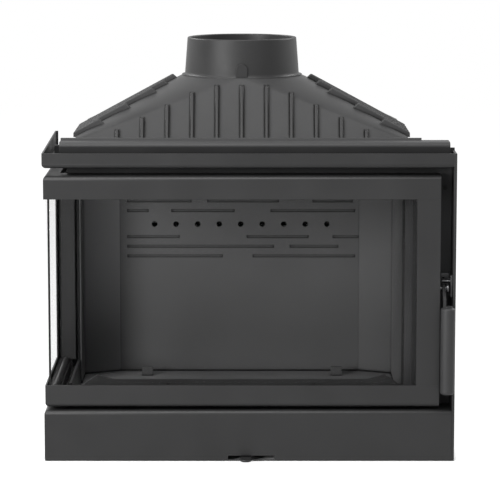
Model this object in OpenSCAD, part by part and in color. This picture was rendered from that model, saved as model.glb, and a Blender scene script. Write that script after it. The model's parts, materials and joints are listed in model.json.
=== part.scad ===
// Fireplace insert with a corner door: glass on the front and on the left side, a cast smoke
// hood with a round flue collar, and a folded sheet casing. All sizes are in millimetres.
// X runs to the right, Y to the rear and Z up. The origin is under the middle of the outer box.
// Most modules work in casing depth: the second coordinate counts from the front plane backwards.

/* [Overall] */
// Width over the plinth and the trim
insert_w = 740; // [700:1:800]
// Depth from the front plane to the rear wall
body_d = 470; // [450:1:520]
// How far the air lever stands in front of the plinth
lever_out = 30; // [20:1:45]
// How far the air spigot stands behind the rear wall
spigot_out = 40; // [30:1:70]
// Height of the top plate's upper face
body_top = 578; // [578:1:579]

/* [Sheet and plate] */
// Thickness of the folded casing and door sheet
sheet_t = 3; // [2:0.5:3.5]
// Thickness of the firebox walls
wall_t = 5; // [4:0.5:6]
// Outer radius of the bends
bend_r = 8; // [6:0.5:9]
// Thickness of the fire-chamber lining
lining_t = 25; // [20:1:28]
// Thickness of the thin board on the left wall
side_board_t = 3; // [2:0.5:5]

/* [Plinth] */
// Gap between the floor and the plinth
plinth_lift = 1; // [1:0.5:2]
// Height of the plinth above the floor
plinth_top = 94; // [92:0.5:95]
// Depth of the left return of the plinth and of the top strip
return_d = 300; // [260:1:300]
// Width of the slot for the air lever
slot_w = 84; // [84:1:100]
// Height of that slot
slot_h = 7; // [6:0.5:8]
// Lower edge of that slot above the floor
slot_z = 3; // [2.5:0.1:3]
// Middle of that slot, from the middle of the casing
slot_x = 3.5; // [-5:0.5:10]

/* [Top strip] */
// Height of the trim over the door
strip_h = 27; // [24:1:30]
// Top edge of the trim
strip_top = 559; // [558:0.5:562]
// Depth of its left return
strip_return_d = 330; // [310:1:340]
// Rise of the return's upper edge towards the rear
strip_rise = 9; // [0:0.5:12]
// Width of the foot under the strip's left return
strip_foot_w = 12; // [9:0.5:16]

/* [Right side panel] */
// Thickness of the panel beside the door
panel_t = 5; // [4:0.5:6]

/* [Firebox] */
// Setback of the left wall's outer face from the casing
left_setback = 41; // [41:0.5:44]
// Setback of the right wall's outer face from the casing
right_setback = 63; // [61:0.5:66]
// Depth of the front plate behind the front plane
plate_d = 60; // [58:0.5:62]
// Underside of the firebox above the floor
base_z = 14; // [14:0.5:16]
// Top of the plate that carries the hearth and the linings
floor_top = 60; // [56:1:62]
// Upper edge of the front plate's sill
sill_top = 122; // [121:0.5:126]
// Upper edge of the left wall's sill
side_sill_top = 131; // [128:0.5:131]
// Underside of the beam over the openings
beam_z = 500; // [497:0.5:501]
// Underside of the shoulder that carries the narrower upper walls
shoulder_z = 528; // [525:0.5:529]
// Top edge of the front plate in the middle
plate_top = 581; // [580:0.5:582]
// Top edge of the front plate beside the hood
plate_wing_top = 563.5; // [562:0.5:568]
// Distance of the front opening's right edge from the right wall's outer face
opening_in = 25; // [23:0.5:30]

/* [Air-wash box] */
// Distance of its left end from the casing's left side
wash_in_left = 30; // [25:0.5:40]
// Distance of its right end from the casing's right side
wash_in_right = 11; // [8:0.5:20]
// Front face behind the front plane
wash_front = 20; // [18:0.5:24]
// Underside
wash_bottom = 533; // [533:0.5:540]
// Top
wash_top = 577; // [575:0.5:578]
// Radius of its front bend
wash_r = 7; // [5:0.5:9]

/* [Smoke hood] */
// Distance of the hood's left edge from the left wall's outer face
hood_in_left = 15; // [13:0.5:18]
// Distance of the hood's right edge from the right wall's outer face
hood_in_right = 21; // [18:0.5:24]
// How far the collar's axis stands in front of the hood's middle
collar_forward = 12.25; // [0:0.25:16]
// Front edge of the hood behind the front plane
hood_front = 74.5; // [74.5:0.5:76]
// Distance of the hood's rear edge from the rear wall's outer face
hood_in_rear = 4; // [4:0.5:20]
// Height of the hood's straight lip
hood_lip = 2; // [2:0.5:4]
// Top of the hood, where the collar starts
hood_top = 679; // [670:1:690]
// Radius of the hood's round neck
neck_r = 112; // [108:0.5:116]
// Width of the rim round the hood's base
hood_rim = 2; // [1:0.5:3]
// Wall of the hood casting, measured level
hood_wall = 8; // [7:0.5:9]
// Width of the hood's inner flange
flange_w = 34; // [32:1:38]
// Thickness of that flange
flange_t = 6; // [5:0.5:8]

/* [Hood ribs and fins] */
// Distance between two front ribs
rib_pitch = 45; // [40:0.5:45]
// Number of ribs to the left and to the right of the middle one
rib_side_count = 5; // [3:1:5]
// Width of a rib and of a fin
rib_w = 7; // [5:0.5:8]
// How far a rib stands in front of the hood, measured level
rib_out = 9; // [6:0.5:9]
// Top of the middle ribs
rib_top = 670; // [660:0.5:672]
// Drop of the rib tops from one rib to the next
rib_step = 21; // [18:0.5:22]
// Steps of the rib tops that the flat middle cuts off
rib_flat_steps = 1.38; // [1:0.01:1.6]
// Distance of the first fin behind the hood's front edge
fin_first = 35.5; // [30:0.5:45]
// How far the fins reach past the hood's side edges
fin_out = 6; // [3:0.5:8]
// Height of the fins at their outer ends
fin_end_h = 9; // [9:0.5:13]
// Rise of the fins' top line over its run
fin_slope = 0.54; // [0.5:0.01:0.58]
// Run of the bevel at a fin's upper end
fin_bevel = 10; // [6:0.5:14]

/* [Flue collar] */
// Top of the collar
collar_top = 751; // [740:0.5:765]
// Radius of the flue bore
flue_r = 95; // [90:0.5:97]
// Outer radius of the collar at its foot
collar_foot_r = 106; // [103:0.5:107]
// Outer radius of the collar under its rounded rim
collar_rim_r = 101.5; // [100:0.5:102.5]
// Radius of the rim's rounding
rim_round = 2; // [2:0.5:4]
// Height of the fillet between the neck and the collar
fillet_h = 10; // [8:0.5:14]
// Width of the round-topped lug on the collar
lug_w = 20.5; // [18:0.5:24]
// Height of that lug
lug_h = 28.5; // [24:0.5:34]
// How far the lug stands in front of the collar's foot
lug_out = 3; // [2:0.5:5]

/* [Fire-chamber lining] */
// Gap between the rear lining and the rear wall
duct_gap = 15; // [15:0.5:20]
// Width of the left corner lining
left_corner_w = 68.5; // [60:0.5:76]
// Width of the right corner lining
right_corner_w = 63.5; // [59:0.5:72]
// Depth of the left corner lining in front of the rear lining's face
left_corner_run = 35; // [30:1:45]
// Depth of the right corner lining in front of the rear lining's face
right_corner_run = 30; // [25:1:40]
// Top of the linings
lining_top = 480; // [470:1:482]
// Top of the hearth
hearth_top = 85; // [80:1:87]

/* [Air holes and grooves in the rear lining] */
// Number of air holes
hole_count = 9; // [5:1:9]
// Distance of the first and the last hole from the edges of the rear lining
hole_margin = 65; // [61:0.5:89]
// Radius of an air hole
hole_r = 5.5; // [4:0.5:6]
// Height of the row of holes
hole_z = 376; // [360:1:390]
// How far the row's middle stands to the right of the rear lining's middle
hole_shift = 2.5; // [-2.5:0.5:7.5]
// Height of a groove
groove_h = 6; // [4:0.5:8]
// Depth of a groove
groove_depth = 3; // [2:0.5:5]
// Height unit between the rows of grooves
groove_pitch = 19; // [16:0.5:21]

/* [Hearth, grate and ash pan] */
// Width of the grate
grate_w = 260; // [240:1:280]
// Length of the grate, front to rear
grate_l = 160; // [140:1:180]
// How far the grate's middle stands in front of the hearth's middle
grate_forward = 13; // [3:0.5:28]
// Number of slots in the grate
grate_slots = 9; // [6:1:9]
// Width of a slot in the grate
grate_slot_w = 12; // [10:0.5:14]
// Ledge under the edge of the grate
grate_ledge = 10; // [8:0.5:14]
// Joint between two hearth tiles
tile_gap = 1; // [0.5:0.5:2]
// Height of the ash pan
pan_h = 34; // [28:0.5:34]
// Wall of the ash pan
pan_t = 1.5; // [1:0.1:2]

/* [Log guard] */
// Thickness of the guard
guard_t = 6; // [5:0.5:8]
// Gap between its left end and the left wall
guard_gap_left = 18; // [18:0.5:30]
// Gap between its right end and the right lining
guard_gap_right = 1; // [1:0.5:12]
// Height of its middle
guard_mid_z = 138; // [134:0.5:142]
// Height of its two peaks
guard_peak_z = 147; // [143:0.5:150]
// Height of its ends
guard_end_z = 127; // [124:0.5:132]

/* [Baffles] */
// Depth of the smoke gap in front of the lower baffle, from the front plane
lower_baffle_front = 140; // [120:1:160]
// Underside of the upper baffle
upper_baffle_z = 540; // [536:1:545]
// Depth of the smoke gap behind the upper baffle
upper_baffle_gap = 93; // [73:1:113]

/* [Air inlet] */
// Outer radius of the air spigot
spigot_r = 50; // [45:0.5:52]
// Wall of the spigot
spigot_t = 2; // [1.5:0.1:3]
// Height of its axis
spigot_z = 80; // [78:1:90]
// Thickness of the air duct behind the rear lining
duct_t = 1.5; // [1:0.1:2]
// Top of that duct
duct_top = 400; // [390:1:440]

/* [Door] */
// Setback of the door's face from the front plane
door_set = 2; // [1:0.5:3]
// Setback of the door's left face from the casing
door_side_set = 2; // [1:0.5:3]
// Gap between the door and the right side panel
recess_w = 23; // [21:0.5:26]
// Underside of the door
door_bottom = 99; // [98.5:0.5:100]
// Top of the door
door_top = 519; // [516:0.5:519]
// Height of the bottom rail
bottom_rail_h = 40; // [38:0.5:42]
// Height of the top rail
top_rail_h = 42.5; // [40:0.5:44]
// Width of the stile beside the handle
stile_w = 42; // [40:0.5:44]
// Width of the stile at the rear of the side glass
rear_stile_w = 40; // [36:0.5:44]
// Length of the door's side, from the door's face
door_side_l = 328; // [322:1:332]
// How far the inner edge of the stile's rear web reaches past the stile
web_reach = 6; // [4:0.5:7]

/* [Glass and seals] */
// Thickness of the ceramic glass
glass_t = 4; // [4:0.5:5]
// How far the glass reaches behind the frame
glass_lap = 12; // [10:0.5:12]
// Width of the seal in the glass corner
corner_seal_w = 3.5; // [3:0.5:5]
// Thickness of the flat glass seals
glass_seal_t = 3; // [2:0.5:3]
// Diameter of the door's rope seal
rope = 11; // [9:0.5:12]
// Clearance on each side of the rope
rope_clear = 0.3; // [0.3:0.1:0.5]
// Drop of the sloped glass beads
bead_drop = 7; // [5:0.5:9]

/* [Hinges] */
// Radius of the hinge pins
pin_r = 5; // [4:0.5:5.5]
// Radial clearance of the pins and the spindle
running = 0.05; // [0.04:0.01:0.08]
// Distance of the hinge axis from the door's left face
hinge_in = 16; // [15:0.5:16.5]
// Distance of the hinge axis from the rear end of the door
hinge_back = 14; // [13:0.5:15]
// Thickness of the hinge brackets
bracket_t = 5; // [4:0.5:5.5]
// Height of the hinge blocks
block_h = 22; // [18:0.5:24]

/* [Latch and handle] */
// Height of the latch spindle
spindle_z = 313; // [305:1:320]
// Depth of the spindle behind the front plane
spindle_d = 18; // [17:0.5:20]
// Radius of the spindle
spindle_r = 5; // [4:0.5:5.5]
// Thickness of the lever and the hook
lever_t = 5; // [4:0.5:5]
// Radius of the grip
grip_r = 13; // [11:0.5:13]
// Length of the grip
grip_l = 158; // [140:1:165]
// Lower end of the grip
grip_z = 126; // [122:0.5:132]
// Distance of the grip's axis in front of the front plane
grip_out = 15; // [14:0.5:18]
// Distance of the grip's axis from the right face of the casing
grip_in = 15; // [14:0.5:16]

/* [Air lever] */
// Width of the lever
lever_w = 20; // [16:0.5:20]
// Thickness of the lever
air_lever_t = 4; // [3:0.5:4]
// Middle of the lever at rest, from the middle of its slot
lever_rest = -10; // [-12:0.5:-8]
// Width of the shutter under the air inlets
shutter_w = 140; // [120:1:150]
// Front edge of the shutter behind the front plane
shutter_front = 80; // [78:1:84]
// Length of the shutter, front to rear
shutter_l = 80; // [70:1:90]

/* [Feet] */
// Radius of a levelling foot
foot_r = 18; // [14:0.5:20]
// Height of its pad
foot_h = 6; // [5:0.5:8]

/* [Hidden] */
$fn = 64;

// Cuts run past the faces that they open
over = 1;
// Clearance of a piece that lies loose in its seat
seat = 0.3;

// Colours
steel_c = "#3d3e40";
cast_c = "#55575a";
lining_c = "#474849";
dark_c = "#262728";
seal_c = "#151515";
glass_c = [0.75, 0.8, 0.82, 0.35];
grip_c = "#4a4c4e";

// Casing planes across the width
left_x = -insert_w / 2;
right_x = insert_w / 2;
panel_x = right_x - panel_t;
wall_left = left_x + left_setback;
wall_right = right_x - right_setback;
room_left = wall_left + wall_t;
room_right = wall_right - wall_t;
face_left = room_left + side_board_t;
face_right = room_right - lining_t;

opening_right = wall_right - opening_in;
wash_left = left_x + wash_in_left;
wash_right = right_x - wash_in_right;

// Casing planes along the depth
front_y = lever_out - (lever_out + body_d + spigot_out) / 2;
plate_back = plate_d + wall_t;
rear_in = body_d - wall_t;
rear_back = rear_in - duct_gap;
rear_face = rear_back - lining_t;

// Heights
base_top = base_z + wall_t;
floor_z = floor_top - wall_t;
roof_z = body_top - wall_t;
strip_z = strip_top - strip_h;
shoulder_top = shoulder_z + wall_t;

// Smoke hood and collar
hood_left = wall_left + hood_in_left;
hood_w = wall_right - hood_in_right - hood_left;
hood_x = hood_left + hood_w / 2;
hood_rear = body_d - hood_in_rear;
collar_d = (hood_front + hood_rear) / 2 - collar_forward;
fin_reach = hood_w / 2 + fin_out;

// Linings, air holes, grate and guard
rear_left = face_left + left_corner_w;
rear_right = face_right - right_corner_w;
left_corner_d = rear_face - left_corner_run;
right_corner_d = rear_face - right_corner_run;
hole_x = (rear_left + rear_right) / 2 + hole_shift;
hole_pitch = (rear_right - rear_left - 2 * hole_margin) / (hole_count - 1);
grate_front = (plate_back + guard_t + rear_face - grate_l) / 2 - grate_forward;
guard_half = (face_right - guard_gap_right - room_left - guard_gap_left) / 2;
guard_x = room_left + guard_gap_left + guard_half;

// Upper walls under the hood
upper_left = hood_x - hood_w / 2 - hood_rim;
upper_right = hood_x + hood_w / 2 + hood_rim;
upper_rear = hood_rear + hood_rim;
upper_baffle_rear = upper_rear - wall_t - upper_baffle_gap;

// Door planes
door_left = left_x + door_side_set;
door_right = panel_x - recess_w;
door_rear = door_set + door_side_l;
door_skin = door_set + sheet_t;
door_skin_x = door_left + sheet_t;
rope_gap = rope + 2 * rope_clear;
web_back = plate_d - rope_gap;
web_front = web_back - sheet_t;
side_web_in = wall_left - rope_gap;
side_web_out = side_web_in - sheet_t;
rail_top = door_bottom + bottom_rail_h;
head_bottom = door_top - top_rail_h;
stile_x = door_right - stile_w;
rear_stile_d = door_rear - rear_stile_w;
glass_low = rail_top - glass_lap;
glass_high = head_bottom + glass_lap;
glass_in = door_skin + glass_t;
glass_in_x = door_skin_x + glass_t;
seal_in = glass_in + glass_seal_t;
seal_in_x = glass_in_x + glass_seal_t;
web_low_top = rail_top - bead_drop - over;
web_high_bottom = head_bottom + bead_drop + over;
rope_low_z = door_bottom + (web_low_top - door_bottom) * 0.4;
rope_high_z = door_top - (door_top - web_high_bottom) * 0.4;
rope_d = web_back + rope_gap / 2;
rope_x = side_web_in + rope_gap / 2;
rope_right_x = door_right - stile_w / 2 - sheet_t;
rope_rear_d = return_d + rope / 2;

// Hinge
hinge_x = door_left + hinge_in;
hinge_d = door_rear - hinge_back;
bottom_bracket_top = door_bottom - 0.8 * bracket_t;
top_bracket_bottom = door_top + 0.8 * bracket_t;

// Latch
bush_x = door_right - sheet_t - 17 * sheet_t / 3;
lever_x = door_right + 0.9 * lever_t;
hook_x = lever_x + 1.6 * lever_t;
hook_t = 0.8 * lever_t;
grip_x = right_x - grip_in;
grip_top = grip_z + grip_l;
bar_r = 0.6 * spindle_r;
bar_d = spindle_d + 3.2 * spindle_r;
bar_z = spindle_z + 2.2 * spindle_r;
hook_gap = 0.1 * spindle_r;

// Air slider
lever_mid = slot_x + lever_rest;
air_lever_z = slot_z + (slot_h - air_lever_t) / 2;
shutter_top = base_z - seat;
shutter_z = shutter_top - sheet_t;

// A block between two limits along each axis: width, casing depth and height
module block(x, d, z) {
    translate([x[0], d[0], z[0]]) cube([x[1] - x[0], d[1] - d[0], z[1] - z[0]]);
}

// Moves casing depth to the model's own frame
module placed() {
    translate([0, front_y, 0]) children();
}

// A rectangle whose lower left corner is round
module round_corner(u, v, r) {
    difference() {
        translate([u[0], v[0]]) square([u[1] - u[0], v[1] - v[0]]);
        difference() {
            translate([u[0] - over, v[0] - over]) square([r + over, r + over]);
            translate([u[0] + r, v[0] + r]) circle(r);
        }
    }
}

// A block whose lower front edge and lower left edge are round
module folded_block(x, d, z, r) {
    intersection() {
        translate([x[0], 0, 0]) rotate([90, 0, 90]) linear_extrude(x[1] - x[0]) round_corner(d, z, r);
        translate([0, d[1], 0]) rotate([90, 0, 0]) linear_extrude(d[1] - d[0]) round_corner(x, z, r);
    }
}

// Folded sheet round the front left corner, bent inwards along its lower edge.
// The foot is the turned-in edge: foot_d deep in front and foot_w wide at the side.
module corner_sheet(x, d, z, foot_d, foot_w) {
    difference() {
        folded_block(x, d, z, bend_r);
        folded_block([x[0] + sheet_t, x[1] + over], [d[0] + sheet_t, d[1] + over],
            [z[0] + sheet_t, z[1] + over], bend_r - sheet_t);
        block([x[0] + foot_w, x[1] + over], [d[0] + foot_d, d[1] + over], [z[0] - over, z[1] + over]);
    }
}

// The same sheet with the bend along its upper edge
module corner_sheet_up(x, d, z, foot_d, foot_w) {
    mirror([0, 0, 1]) corner_sheet(x, d, [-z[1], -z[0]], foot_d, foot_w);
}

// A cylinder along the width, between two places
module rod_x(x, d, z, r) {
    translate([x[0], d, z]) rotate([0, 90, 0]) cylinder(h = x[1] - x[0], r = r);
}

// A cylinder along the depth, between two places
module rod_d(x, d, z, r) {
    translate([x, d[1], z]) rotate([90, 0, 0]) cylinder(h = d[1] - d[0], r = r);
}

// An upright cylinder
module rod_z(x, d, z, r) {
    translate([x, d, z[0]]) cylinder(h = z[1] - z[0], r = r);
}

// Firebox
module base_plate() color(steel_c) placed() difference() {
    block([wall_left, wall_right], [plate_d, body_d], [base_z, base_top]);
    for (side = [-1, 1])
        block([lever_mid + (side * 2.5 - 0.75) * lever_w, lever_mid + (side * 2.5 + 0.75) * lever_w],
            [shutter_front + 0.15 * shutter_l, shutter_front + 0.85 * shutter_l],
            [base_z - over, base_top + over]);
}

module floor_plate() color(steel_c) placed() difference() {
    block([room_left, room_right], [plate_back, rear_back], [floor_z, floor_top]);
    block([hole_x - grate_w / 2 + grate_ledge, hole_x + grate_w / 2 - grate_ledge],
        [grate_front + grate_ledge, grate_front + grate_l - grate_ledge],
        [floor_z - over, floor_top + over]);
}

module front_plate() color(dark_c) placed() difference() {
    union() {
        block([wall_left, right_x], [plate_d, plate_back], [base_top, strip_z]);
        block([wash_left, right_x], [plate_d, plate_back], [strip_z, plate_wing_top]);
        block([wash_left, wash_right], [plate_d, plate_back], [strip_z, wash_top]);
        block([wash_left, wall_right + sheet_t], [plate_d, plate_back], [wash_top, plate_top]);
    }
    block([wall_left - over, opening_right], [plate_d - over, plate_back + over], [sill_top, beam_z]);
}

module left_wall() color(dark_c) placed() difference() {
    block([wall_left, room_left], [plate_back, rear_in], [base_top, shoulder_z]);
    block([wall_left - over, room_left + over], [plate_back - over, return_d], [side_sill_top, beam_z]);
}

module right_wall() color(steel_c) placed()
    block([room_right, wall_right], [plate_back, rear_in], [base_top, shoulder_z]);

module rear_wall() color(steel_c) placed() difference() {
    block([wall_left, wall_right], [rear_in, body_d], [base_top, shoulder_z]);
    rod_d(hood_x, [rear_in - over, body_d + over], spigot_z, spigot_r - spigot_t);
}

module shoulder_plate() color(steel_c) placed() difference() {
    block([wall_left, wall_right], [plate_back, body_d], [shoulder_z, shoulder_top]);
    block([upper_left + wall_t, upper_right - wall_t], [plate_back - over, upper_rear - wall_t],
        [shoulder_z - over, shoulder_top + over]);
}

module upper_walls() color(steel_c) placed() difference() {
    block([upper_left, upper_right], [plate_back, upper_rear], [shoulder_top, roof_z]);
    block([upper_left + wall_t, upper_right - wall_t], [plate_back - over, upper_rear - wall_t],
        [shoulder_top - over, roof_z + over]);
}

module top_plate() color(steel_c) placed() difference() {
    block([upper_left, upper_right], [plate_back, upper_rear], [roof_z, body_top]);
    block([hood_x - hood_w / 2 + 2 * flange_w, hood_x + hood_w / 2 - 2 * flange_w],
        [hood_front + 2 * flange_w, hood_rear - 2 * flange_w], [roof_z - over, body_top + over]);
    hood_bolt_places() cylinder(h = 3 * wall_t, r = bolt_r + running, center = true);
}

// Casing
module plinth() color(steel_c) placed() difference() {
    union() {
        corner_sheet_up([left_x, panel_x], [0, return_d], [plinth_lift, plinth_top],
            plate_d, left_setback);
    }
    block([slot_x - slot_w / 2, slot_x + slot_w / 2], [-over, sheet_t + over], [slot_z, slot_z + slot_h]);
}

module top_strip() color(steel_c) placed() difference() {
    union() {
        corner_sheet([left_x, panel_x], [0, strip_return_d], [strip_z, strip_top + strip_rise + over],
            wash_front, strip_foot_w);
        block([left_x + sheet_t, left_x + 2 * sheet_t], [strip_return_d - sheet_t, strip_return_d],
            [strip_z + sheet_t, strip_top + strip_rise + over]);
    }
    translate([left_x - over, 0, 0]) rotate([90, 0, 90]) linear_extrude(insert_w)
        polygon([[-over, strip_top], [0, strip_top], [strip_return_d, strip_top + strip_rise],
            [strip_return_d + over, strip_top + strip_rise],
            [strip_return_d + over, strip_top + strip_rise + 2 * over],
            [-over, strip_top + strip_rise + 2 * over]]);
}

module right_side_panel() color(steel_c) placed()
    block([panel_x, right_x], [0, plate_d], [plinth_lift, strip_top]);

module strip_brackets() color(steel_c) placed() {
    bar_z0 = strip_z + sheet_t;
    bar_d0 = return_d / 2;
    leg_x = left_x + strip_foot_w;
    block([left_x + bend_r, upper_left], [bar_d0, bar_d0 + 2 * sheet_t], [bar_z0, bar_z0 + 3 * sheet_t]);
    block([leg_x, leg_x + 3 * sheet_t], [bar_d0, bar_d0 + 2 * sheet_t], [bar_z0 + 3 * sheet_t, strip_top]);
    for (x = [-1, 0, 1])
        block([(x - 0.1) * insert_w / 3, (x + 0.1) * insert_w / 3], [bend_r, wash_front],
            [bar_z0, bar_z0 + 2 * sheet_t]);
}

module air_wash_box() color(dark_c) placed() mirror([0, 0, 1]) difference() {
    translate([wash_left, 0, 0]) rotate([90, 0, 90]) linear_extrude(wash_right - wash_left)
        round_corner([wash_front, plate_d], [-wash_top, -wash_bottom], wash_r);
    translate([wash_left + sheet_t, 0, 0]) rotate([90, 0, 90])
        linear_extrude(wash_right - wash_left - 2 * sheet_t)
        round_corner([wash_front + sheet_t, plate_d + over],
            [sheet_t - wash_top, -sheet_t - wash_bottom], wash_r - sheet_t);
}

// Smoke hood
bolt_r = 4;
bolt_in = flange_w - 3 * bolt_r;

module hood_bolt_places() {
    for (x = [hood_x - hood_w / 2 + bolt_in, hood_x, hood_x + hood_w / 2 - bolt_in],
            d = [hood_front + bolt_in, hood_rear - bolt_in])
        translate([x, d, body_top]) children();
}

module hood_loft(inset, neck, low, high) {
    hull() {
        block([hood_x - hood_w / 2 + inset, hood_x + hood_w / 2 - inset],
            [hood_front + inset, hood_rear - inset], [low, body_top + hood_lip]);
        rod_z(hood_x, collar_d, [high - hood_lip, high], neck, $fn = 48);
    }
}

// A front rib: its front line runs parallel to the hood's front face
module front_rib(step) {
    rise = hood_top - body_top - hood_lip;
    run = collar_d - neck_r - hood_front;
    top = min(rib_top, rib_top + (rib_flat_steps - abs(step)) * rib_step);
    low = body_top + hood_lip;
    lean = (top - low) * run / rise;
    translate([hood_x + step * rib_pitch - rib_w / 2, 0, 0]) rotate([90, 0, 90]) linear_extrude(rib_w)
        polygon([[hood_front - rib_out, low], [hood_front - rib_out + lean, top],
            [hood_front + lean + hood_wall, top], [hood_front + hood_wall, low]]);
}

// A side fin: it starts at the base's edge and ends under the collar
module side_fin(step) {
    top_run = fin_reach * fin_run_shares[step];
    end_x = fin_reach - top_run;
    high = body_top + fin_end_h + top_run * fin_slope;
    pitch = (collar_d - hood_front - fin_first) / (len(fin_run_shares) - 1);
    translate([hood_x, collar_d - step * pitch + rib_w / 2, 0]) rotate([90, 0, 0]) linear_extrude(rib_w)
        polygon([[-fin_reach, body_top], [-fin_reach, body_top + fin_end_h], [-end_x, high],
            [fin_bevel - end_x, high - fin_bevel * fin_slope * 1.6], [fin_bevel - end_x, body_top]]);
}
fin_run_shares = [0.5775, 0.527, 0.4575, 0.304, 0.151];

module smoke_hood() color(cast_c) placed() {
    difference() {
        union() {
            hood_loft(0, neck_r, body_top, hood_top);
            for (step = [-rib_side_count : rib_side_count]) front_rib(step);
            for (step = [0 : len(fin_run_shares) - 1]) {
                side_fin(step);
                translate([2 * hood_x, 0, 0]) mirror([1, 0, 0]) side_fin(step);
            }
        }
        hood_loft(hood_wall, neck_r - hood_wall, body_top - over, hood_top + over);
    }
    difference() {
        block([hood_x - hood_w / 2, hood_x + hood_w / 2], [hood_front, hood_rear],
            [body_top, body_top + hood_lip]);
        block([hood_x - hood_w / 2 + flange_w, hood_x + hood_w / 2 - flange_w],
            [hood_front + flange_w, hood_rear - flange_w], [body_top - over, body_top + flange_t]);
        hood_bolt_places() cylinder(h = 3 * wall_t, r = bolt_r + running, center = true);
    }
}

module flue_collar() color(cast_c) placed() translate([hood_x, collar_d, 0]) {
    quarter = [for (i = [0 : 6]) i * 15];
    difference() {
        union() {
            rotate_extrude($fn = 96) polygon(concat(
                [[flue_r, hood_top], [neck_r, hood_top]],
                [for (a = quarter) [neck_r - (neck_r - collar_foot_r) * sin(a),
                    hood_top + fillet_h * (1 - cos(a))]],
                [for (a = quarter) [collar_rim_r - rim_round * (1 - cos(a)),
                    collar_top - rim_round * (1 - sin(a))]],
                [[flue_r, collar_top]]));
            block([-lug_w / 2, lug_w / 2], [-collar_foot_r - lug_out, -flue_r - over],
                [hood_top, hood_top + lug_h - lug_w / 2]);
            rod_d(0, [-collar_foot_r - lug_out, -flue_r - over], hood_top + lug_h - lug_w / 2, lug_w / 2);
        }
        translate([0, 0, hood_top - over]) cylinder(h = collar_top - hood_top + 2 * over, r = flue_r);
    }
}

module hood_bolts() color(steel_c) placed() hood_bolt_places() {
    translate([0, 0, -wall_t - 1.5 * bolt_r]) cylinder(h = 1.5 * bolt_r, r = 1.8 * bolt_r, $fn = 6);
    translate([0, 0, -wall_t]) cylinder(h = wall_t + hood_lip, r = bolt_r);
}

// Linings
groove_row_shares = [2.4, 1.4, -1.3, -2.3, -3.3];
groove_run_shares = [
    [[0.03, 0.3], [0.365, 0.665], [0.805, 0.975]],
    [[0.03, 0.12], [0.215, 0.48], [0.63, 0.985]],
    [[0.03, 0.25], [0.53, 0.79], [0.89, 1]],
    [[0.03, 0.645], [0.71, 0.915]],
    [[0.03, 0.43], [0.555, 0.985]]];

module air_hole_places() {
    for (i = [0 : hole_count - 1])
        translate([hole_x + (i - (hole_count - 1) / 2) * hole_pitch, 0, hole_z]) children();
}

module rear_lining() color(lining_c) placed() difference() {
    block([rear_left, rear_right], [rear_face, rear_back], [floor_top, lining_top]);
    air_hole_places() rod_d(0, [rear_face - over, rear_back + over], 0, hole_r);
    for (row = [0 : len(groove_row_shares) - 1], run = groove_run_shares[row]) {
        z = hole_z + groove_row_shares[row] * groove_pitch;
        w = rear_right - rear_left;
        block([rear_left + run[0] * w, rear_left + run[1] * w],
            [rear_face - over, rear_face + groove_depth], [z - groove_h / 2, z + groove_h / 2]);
    }
}

module left_lining() color(lining_c) placed()
    block([room_left, face_left], [return_d, left_corner_d], [floor_top, lining_top]);

module right_lining() color(lining_c) placed()
    block([face_right, room_right], [plate_back, right_corner_d], [floor_top, lining_top]);

// A slanted panel between the side lining and the rear lining
module corner_panel(rear_x, side_x, wall_x, corner) {
    side = sign(side_x - rear_x);
    translate([0, 0, floor_top]) linear_extrude(lining_top - floor_top)
        polygon([[rear_x, rear_face], [side_x, corner], [wall_x, corner],
            [wall_x, corner + 0.75 * lining_t], [rear_x + side * lining_t / 2, rear_back],
            [rear_x, rear_back]]);
}

module left_corner_lining() color(lining_c) placed()
    corner_panel(rear_left, face_left, room_left, left_corner_d);

module right_corner_lining() color(lining_c) placed()
    corner_panel(rear_right, face_right, room_right, right_corner_d);

module rear_air_duct() color(steel_c) placed() {
    half = (hole_count - 1) / 2 * hole_pitch + 3 * hole_r;
    difference() {
        block([hole_x - half - duct_t, hole_x + half + duct_t], [rear_back, rear_in], [base_top, duct_top]);
        block([hole_x - half, hole_x + half], [rear_back + duct_t, rear_in + over],
            [base_top - over, duct_top - duct_t]);
        air_hole_places() rod_d(0, [rear_back - over, rear_back + duct_t + over], 0, hole_r);
    }
}

module lower_baffle() color(lining_c) placed()
    block([room_left, room_right], [lower_baffle_front, rear_back], [lining_top, lining_top + 0.8 * lining_t]);

module upper_baffle() color(steel_c) placed()
    block([upper_left + 3.4 * wall_t, face_right], [plate_back + wall_t, upper_baffle_rear],
        [upper_baffle_z, upper_baffle_z + wall_t]);

module baffle_rests() color(steel_c) placed()
    for (x = [[upper_left + wall_t, upper_left + wall_t + 1.48 * lining_t], [face_right - lining_t, upper_right - wall_t]])
        block(x, [lower_baffle_front, upper_baffle_rear - lining_t],
            [upper_baffle_z - wall_t, upper_baffle_z]);

// Hearth
module hearth_tiles() color(lining_c) placed() {
    grate_x = [hole_x - grate_w / 2 - seat, hole_x + grate_w / 2 + seat];
    grate_d = [grate_front - seat, grate_front + grate_l + seat];
    z = [floor_top, hearth_top];
    front = plate_back + guard_t;
    block([room_left, face_right], [front, grate_d[0] - tile_gap], z);
    difference() {
        block([room_left, grate_x[0]], grate_d, z);
        block([room_left - over, face_left], [return_d, grate_d[1] + over],
            [floor_top - over, hearth_top + over]);
    }
    block([grate_x[1], face_right], grate_d, z);
    translate([0, 0, floor_top]) linear_extrude(hearth_top - floor_top)
        polygon([[face_left, grate_d[1] + tile_gap], [face_left, left_corner_d],
            [rear_left, rear_face], [rear_right, rear_face], [face_right, right_corner_d],
            [face_right, grate_d[1] + tile_gap]]);
}

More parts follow.
